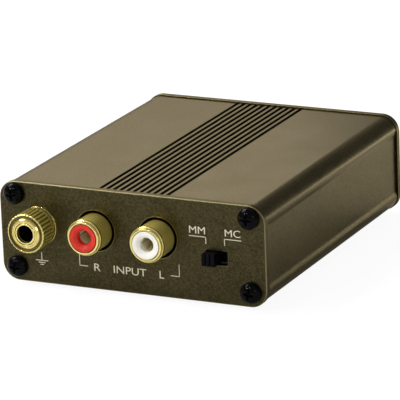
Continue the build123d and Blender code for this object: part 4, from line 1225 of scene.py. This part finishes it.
# Printed marks: plain words and symbols on the two plates, across and up from each plate's
# lower left corner, as (word, left, right, bottom, top) and bars of (left, right, bottom, top)
markValues = {
    "front": {
        "words": [
            ("R", 22.8, 24.35, 4.25, 5.93),
            ("INPUT", 27.6, 35.6, 4.25, 5.93),
            ("L", 38.8, 39.9, 4.25, 5.93),
            ("MM", 46.4, 50.2, 15.5, 17.1),
            ("MC", 54.9, 58.6, 15.5, 17.1),
        ],
        "bars": [
            (9.72, 9.90, 5.25, 7.1), (8.30, 11.35, 5.15, 5.33),
            (9.0, 10.65, 4.66, 4.84), (9.40, 10.25, 4.20, 4.38),
            (19.17, 19.35, 5.05, 7.9), (19.17, 21.27, 5.05, 5.23),
            (43.53, 43.71, 5.05, 7.9), (41.5, 43.71, 5.05, 5.23),
            (46.3, 50.40, 14.78, 14.96), (50.22, 50.40, 13.35, 14.96),
            (54.68, 58.75, 14.78, 14.96), (54.68, 54.86, 13.35, 14.96),
        ],
    },
    "rear": {
        "words": [
            ("R", 18.0, 19.6, 4.25, 5.93),
            ("OUTPUT", 22.0, 31.4, 4.25, 5.93),
            ("L", 33.9, 35.0, 4.25, 5.93),
            ("DC", 50.6, 53.9, 4.25, 5.93),
        ],
        "bars": [
            (14.4, 14.58, 5.05, 7.9), (14.4, 16.5, 5.05, 5.23),
            (38.75, 38.93, 5.05, 7.9), (36.7, 38.93, 5.05, 5.23),
        ],
    },
    "low": -0.01,
    "high": 0.02,
}


def wordShape(text, left, right, bottom, top, low, high):
    # a word in the built-in face, stretched to fill its box
    curve = bpy.data.curves.new(text, "FONT")
    curve.body = text
    curve.extrude = 0.05
    holder = addObject(text, curve)
    evaluated = holder.evaluated_get(bpy.context.evaluated_depsgraph_get())
    mesh = bpy.data.meshes.new_from_object(evaluated)
    points = np.zeros(len(mesh.vertices) * 3)
    mesh.vertices.foreach_get("co", points)
    mesh.calc_loop_triangles()
    triangles = np.zeros(len(mesh.loop_triangles) * 3, int)
    mesh.loop_triangles.foreach_get("vertices", triangles)
    points = points.reshape(-1, 3)
    points = (points - points.min(0)) / (points.max(0) - points.min(0))
    points = points * [right - left, top - bottom, high - low] + [left, bottom, low]
    bpy.data.objects.remove(holder)
    bpy.data.meshes.remove(mesh)
    bpy.data.curves.remove(curve)
    return surface(points, [triangles.reshape(-1, 3)])


def makeMarks(v):
    for end, axes, face in plateEnds:
        shapes = [wordShape(*word, v["low"], v["high"]) for word in v[end]["words"]]
        for left, right, bottom, top in v[end]["bars"]:
            outline = np.array([(left, bottom), (right, bottom), (right, top), (left, top)])
            shapes.append(prism([outline], v["low"], v["high"], [(0, 0)]))
        corner = np.array([plateLow[0] if end == "front" else plateHigh[0], face, plateLow[2]])
        marks = [placed(shape, corner, axes) for shape in shapes]
        addPiece(end + "_marks", marks, "chassis", finish["print"])


makeMarks(markValues)
print("marks made")


# Pieces that keep their own solid and only get a finish
def resistorFinish():
    # colour bands across a blue body, by the share (y - low) / (high - low) of the row's length
    low, high = boxOf("resistors")
    material, tree, shader = newMaterial("banded_resistor", Roughness=0.3, Coat_Weight=0.4)
    run = mathNode(tree, "SUBTRACT", placeAlong(tree, "Y"), low[1] * mm)
    share = mathNode(tree, "DIVIDE", run, (high[1] - low[1]) * mm)
    body = (0.12, 0.30, 0.46)
    bands = ramp(tree, share, [
        (0.0, body), (0.12, (0.25, 0.03, 0.02)), (0.20, body), (0.36, (0.02, 0.02, 0.02)), (0.44, body),
        (0.55, (0.30, 0.12, 0.02)), (0.63, body), (0.80, (0.45, 0.33, 0.10)), (0.88, body),
    ])
    bands.node.color_ramp.interpolation = "CONSTANT"
    feed(tree, shader.inputs["Base Color"], bands)
    addBump(tree, shader, clouds(tree, 300), 1e-5)
    return material


def windingFinish():
    # enamelled wire laid turn on turn up the core
    material, tree, shader = newMaterial("enamelled_wire", Metallic=1.0, Roughness=0.25)
    wave = addNode(tree, "TexWave", Vector=objectPlace(tree), Scale=900)
    wave.bands_direction = "Z"
    colour = ramp(tree, wave.outputs["Fac"], [(0.0, (0.22, 0.07, 0.02)), (1.0, (0.62, 0.26, 0.10))])
    feed(tree, shader.inputs["Base Color"], colour)
    addBump(tree, shader, wave.outputs["Fac"], 5e-5)
    return material


def canFinish(name, node, topEdge=0.15):
    # a dark sleeve and a bare aluminium top
    material, tree, shader = newMaterial(name, Roughness=0.35, Coat_Weight=0.3)
    top = boxOf(node)[1][2]
    isTop = mathNode(tree, "GREATER_THAN", placeAlong(tree, "Z"), (top - topEdge) * mm)
    colour = ramp(tree, isTop, [(0.0, (0.012, 0.016, 0.045)), (1.0, (0.62, 0.62, 0.60))])
    feed(tree, shader.inputs["Base Color"], colour)
    feed(tree, shader.inputs["Metallic"], isTop)
    addBump(tree, shader, clouds(tree, 300), 5e-6)
    return material


finish["resistor"] = resistorFinish()
finish["winding"] = windingFinish()
finish["coupling"] = canFinish("coupling_can", "coupling_capacitors")
finish["supply"] = canFinish("supply_can", "supply_capacitors")
dressed = {
    "zinc": ["ground_lock_washer", "ground_hex_nut", "switch_frame"],
    "contact": [
        "ground_solder_tag", "switch_bridges", "switch_terminals", "dc_socket_spring",
        "power_lamp_leads", "resistor_leads", "amplifier_chip_legs", "regulator_legs",
    ],
    # painted shade: the ground clips are made dark for the gap round each barrel
    "paintedShadeClip": [name + "_ground_clip" for name in jackNames],
    "housing": ["dc_socket_housing"] + [name + "_housing" for name in jackNames],
    "nickel": ["dc_socket_pin"],
    "phenolic": ["switch_base"],
    "board": ["circuit_board"],
    "film": ["film_capacitors"],
    "chip": ["amplifier_chips", "voltage_regulators"],
    "ferrite": ["choke_core"],
    "resistor": ["resistors"],
    "winding": ["choke_winding"],
    "coupling": ["coupling_capacitors"],
    "supply": ["supply_capacitors"],
}
for key, names in dressed.items():
    for name in names:
        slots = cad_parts[name].data.materials
        slots.clear()
        slots.append(finish[key])
print("frame pieces dressed:", sum(len(names) for names in dressed.values()))


# Studio: pale floor, soft world, area lamps and the camera
studioValues = {
    "floorSize": 6.0,
    "floorColour": 0.82,
    "floorShadow": 0.12,  # the part of its shading that the camera sees
    "floorGlow": 0.93,  # for the camera only
    "worldLevel": 0.36,
    # world patches: (direction, inner and outer angle, level)
    "patches": [
        ((0.27, 0.86, 0.42), 18, 29, 0.20),
        ((-0.52, 0.85, 0.04), 4, 10, 0.20),
    ],
    # lamps: (name, direction from the object, distance, width and height in metres, brightness)
    "lamps": [
        ("left_key", (-0.52, -0.74, 0.43), 1.0, 0.035, 0.05, 380),
        ("right_key", (-0.22, -0.80, 0.55), 1.0, 0.03, 0.035, 380),
        ("top_box", (-0.66, -0.20, 0.72), 0.8, 0.50, 0.35, 6.5),
        ("left_box", (-0.60, 0.35, 0.72), 0.8, 0.30, 0.30, 9.5),
        ("right_fill", (0.62, -0.74, 0.27), 1.0, 0.30, 0.30, 2.4),
        ("rear_box", (-0.49, 0.79, 0.44), 0.43, 0.18, 0.15, 1.35),
        ("side_box", (0.53, 0.85, -0.02), 0.150, 0.10, 0.022, 2.2),
    ],
}
cameraValues = {
    "target": (-1.005, -0.653, 11.645),
    "distance": 807.0,
    "azimuth": 26.121,
    "elevation": 17.236,
    "roll": 2.2185,
    "lens": 319.6,
    "sensor": 36.0,
    "clip": (0.05, 20),  # metres
}


def cameraRays(tree):
    return addNode(tree, "LightPath").outputs["Is Camera Ray"]


def makeFloor(v):
    # near white to the camera, pale to other rays, and darker where the object shades it
    half = v["floorSize"] / 2
    corners = [(x * half, y * half, 0) for x, y in ((-1, -1), (1, -1), (1, 1), (-1, 1))]
    mesh = bpy.data.meshes.new("floor")
    mesh.from_pydata(corners, [], [(0, 1, 2, 3)])
    material = bpy.data.materials.new("floor_paint")
    material.use_nodes = True
    tree = material.node_tree
    tree.nodes.clear()
    isSeen = cameraRays(tree)
    shade = mixColour(tree, isSeen, (v["floorColour"],) * 3, (v["floorShadow"],) * 3)
    paint = addNode(tree, "BsdfDiffuse", Color=shade)
    glow = addNode(tree, "Emission", Strength=mathNode(tree, "MULTIPLY", isSeen, v["floorGlow"]))
    both = addNode(tree, "AddShader")
    for socket, part in zip(both.inputs, (paint, glow)):
        feed(tree, socket, part.outputs[0])
    addNode(tree, "OutputMaterial", Surface=both.outputs[0])
    mesh.materials.append(material)
    addObject("floor", mesh)


def makeWorld(v):
    world = bpy.data.worlds.new("studio")
    bpy.context.scene.world = world
    world.use_nodes = True
    tree = world.node_tree
    tree.nodes.clear()
    direction = addNode(tree, "TexCoord").outputs["Generated"]
    level = (v["worldLevel"],) * 3
    for centre, inner, outer, patchLevel in v["patches"]:
        # 1 within the inner angle of the patch's centre and 0 past the outer, by the dot product
        dot = addNode(tree, "VectorMath")
        dot.operation = "DOT_PRODUCT"
        for socket, value in zip(dot.inputs, (direction, Vector(centre).normalized())):
            feed(tree, socket, value)
        near, far = math.cos(math.radians(inner)), math.cos(math.radians(outer))
        fade = addNode(tree, "MapRange", Value=dot.outputs["Value"], From_Min=far, From_Max=near)
        fade.interpolation_type = "SMOOTHSTEP"
        level = mixColour(tree, fade.outputs["Result"], level, (patchLevel,) * 3)
    back = addNode(tree, "Background", Color=mixColour(tree, cameraRays(tree), level, (1.0,) * 3))
    addNode(tree, "OutputWorld", Surface=back.outputs[0])


def makeLamps(v):
    middle = (Vector(cadBounds[0]) + Vector(cadBounds[1])) / 2
    for name, direction, distance, width, height, brightness in v["lamps"]:
        light = bpy.data.lights.new(name, "AREA")
        light.shape = "RECTANGLE"
        light.size = width
        light.size_y = height
        light.energy = brightness * math.pi * width * height
        lamp = addObject(name, light)
        away = Vector(direction).normalized()
        lamp.location = middle + away * distance
        lamp.rotation_euler = away.to_track_quat("Z", "Y").to_euler()


def makeCamera(v):
    data = bpy.data.cameras.new("camera")
    data.sensor_width = v["sensor"]
    data.lens = v["lens"]
    data.clip_start, data.clip_end = v["clip"]
    camera = addObject("camera", data)
    azimuth, elevation = math.radians(v["azimuth"]), math.radians(v["elevation"])
    level = math.cos(elevation)
    back = Vector((math.sin(azimuth) * level, -math.cos(azimuth) * level, math.sin(elevation)))
    roll = Matrix.Rotation(-math.radians(v["roll"]), 3, "Z")
    place = (back.to_track_quat("Z", "Y").to_matrix() @ roll).to_4x4()
    place.translation = (Vector(v["target"]) + back * v["distance"]) * mm
    camera.matrix_world = place
    bpy.context.scene.camera = camera


makeFloor(studioValues)
makeWorld(studioValues)
makeLamps(studioValues)
makeCamera(cameraValues)
bpy.context.scene.view_settings.view_transform = "Standard"
print("studio made")
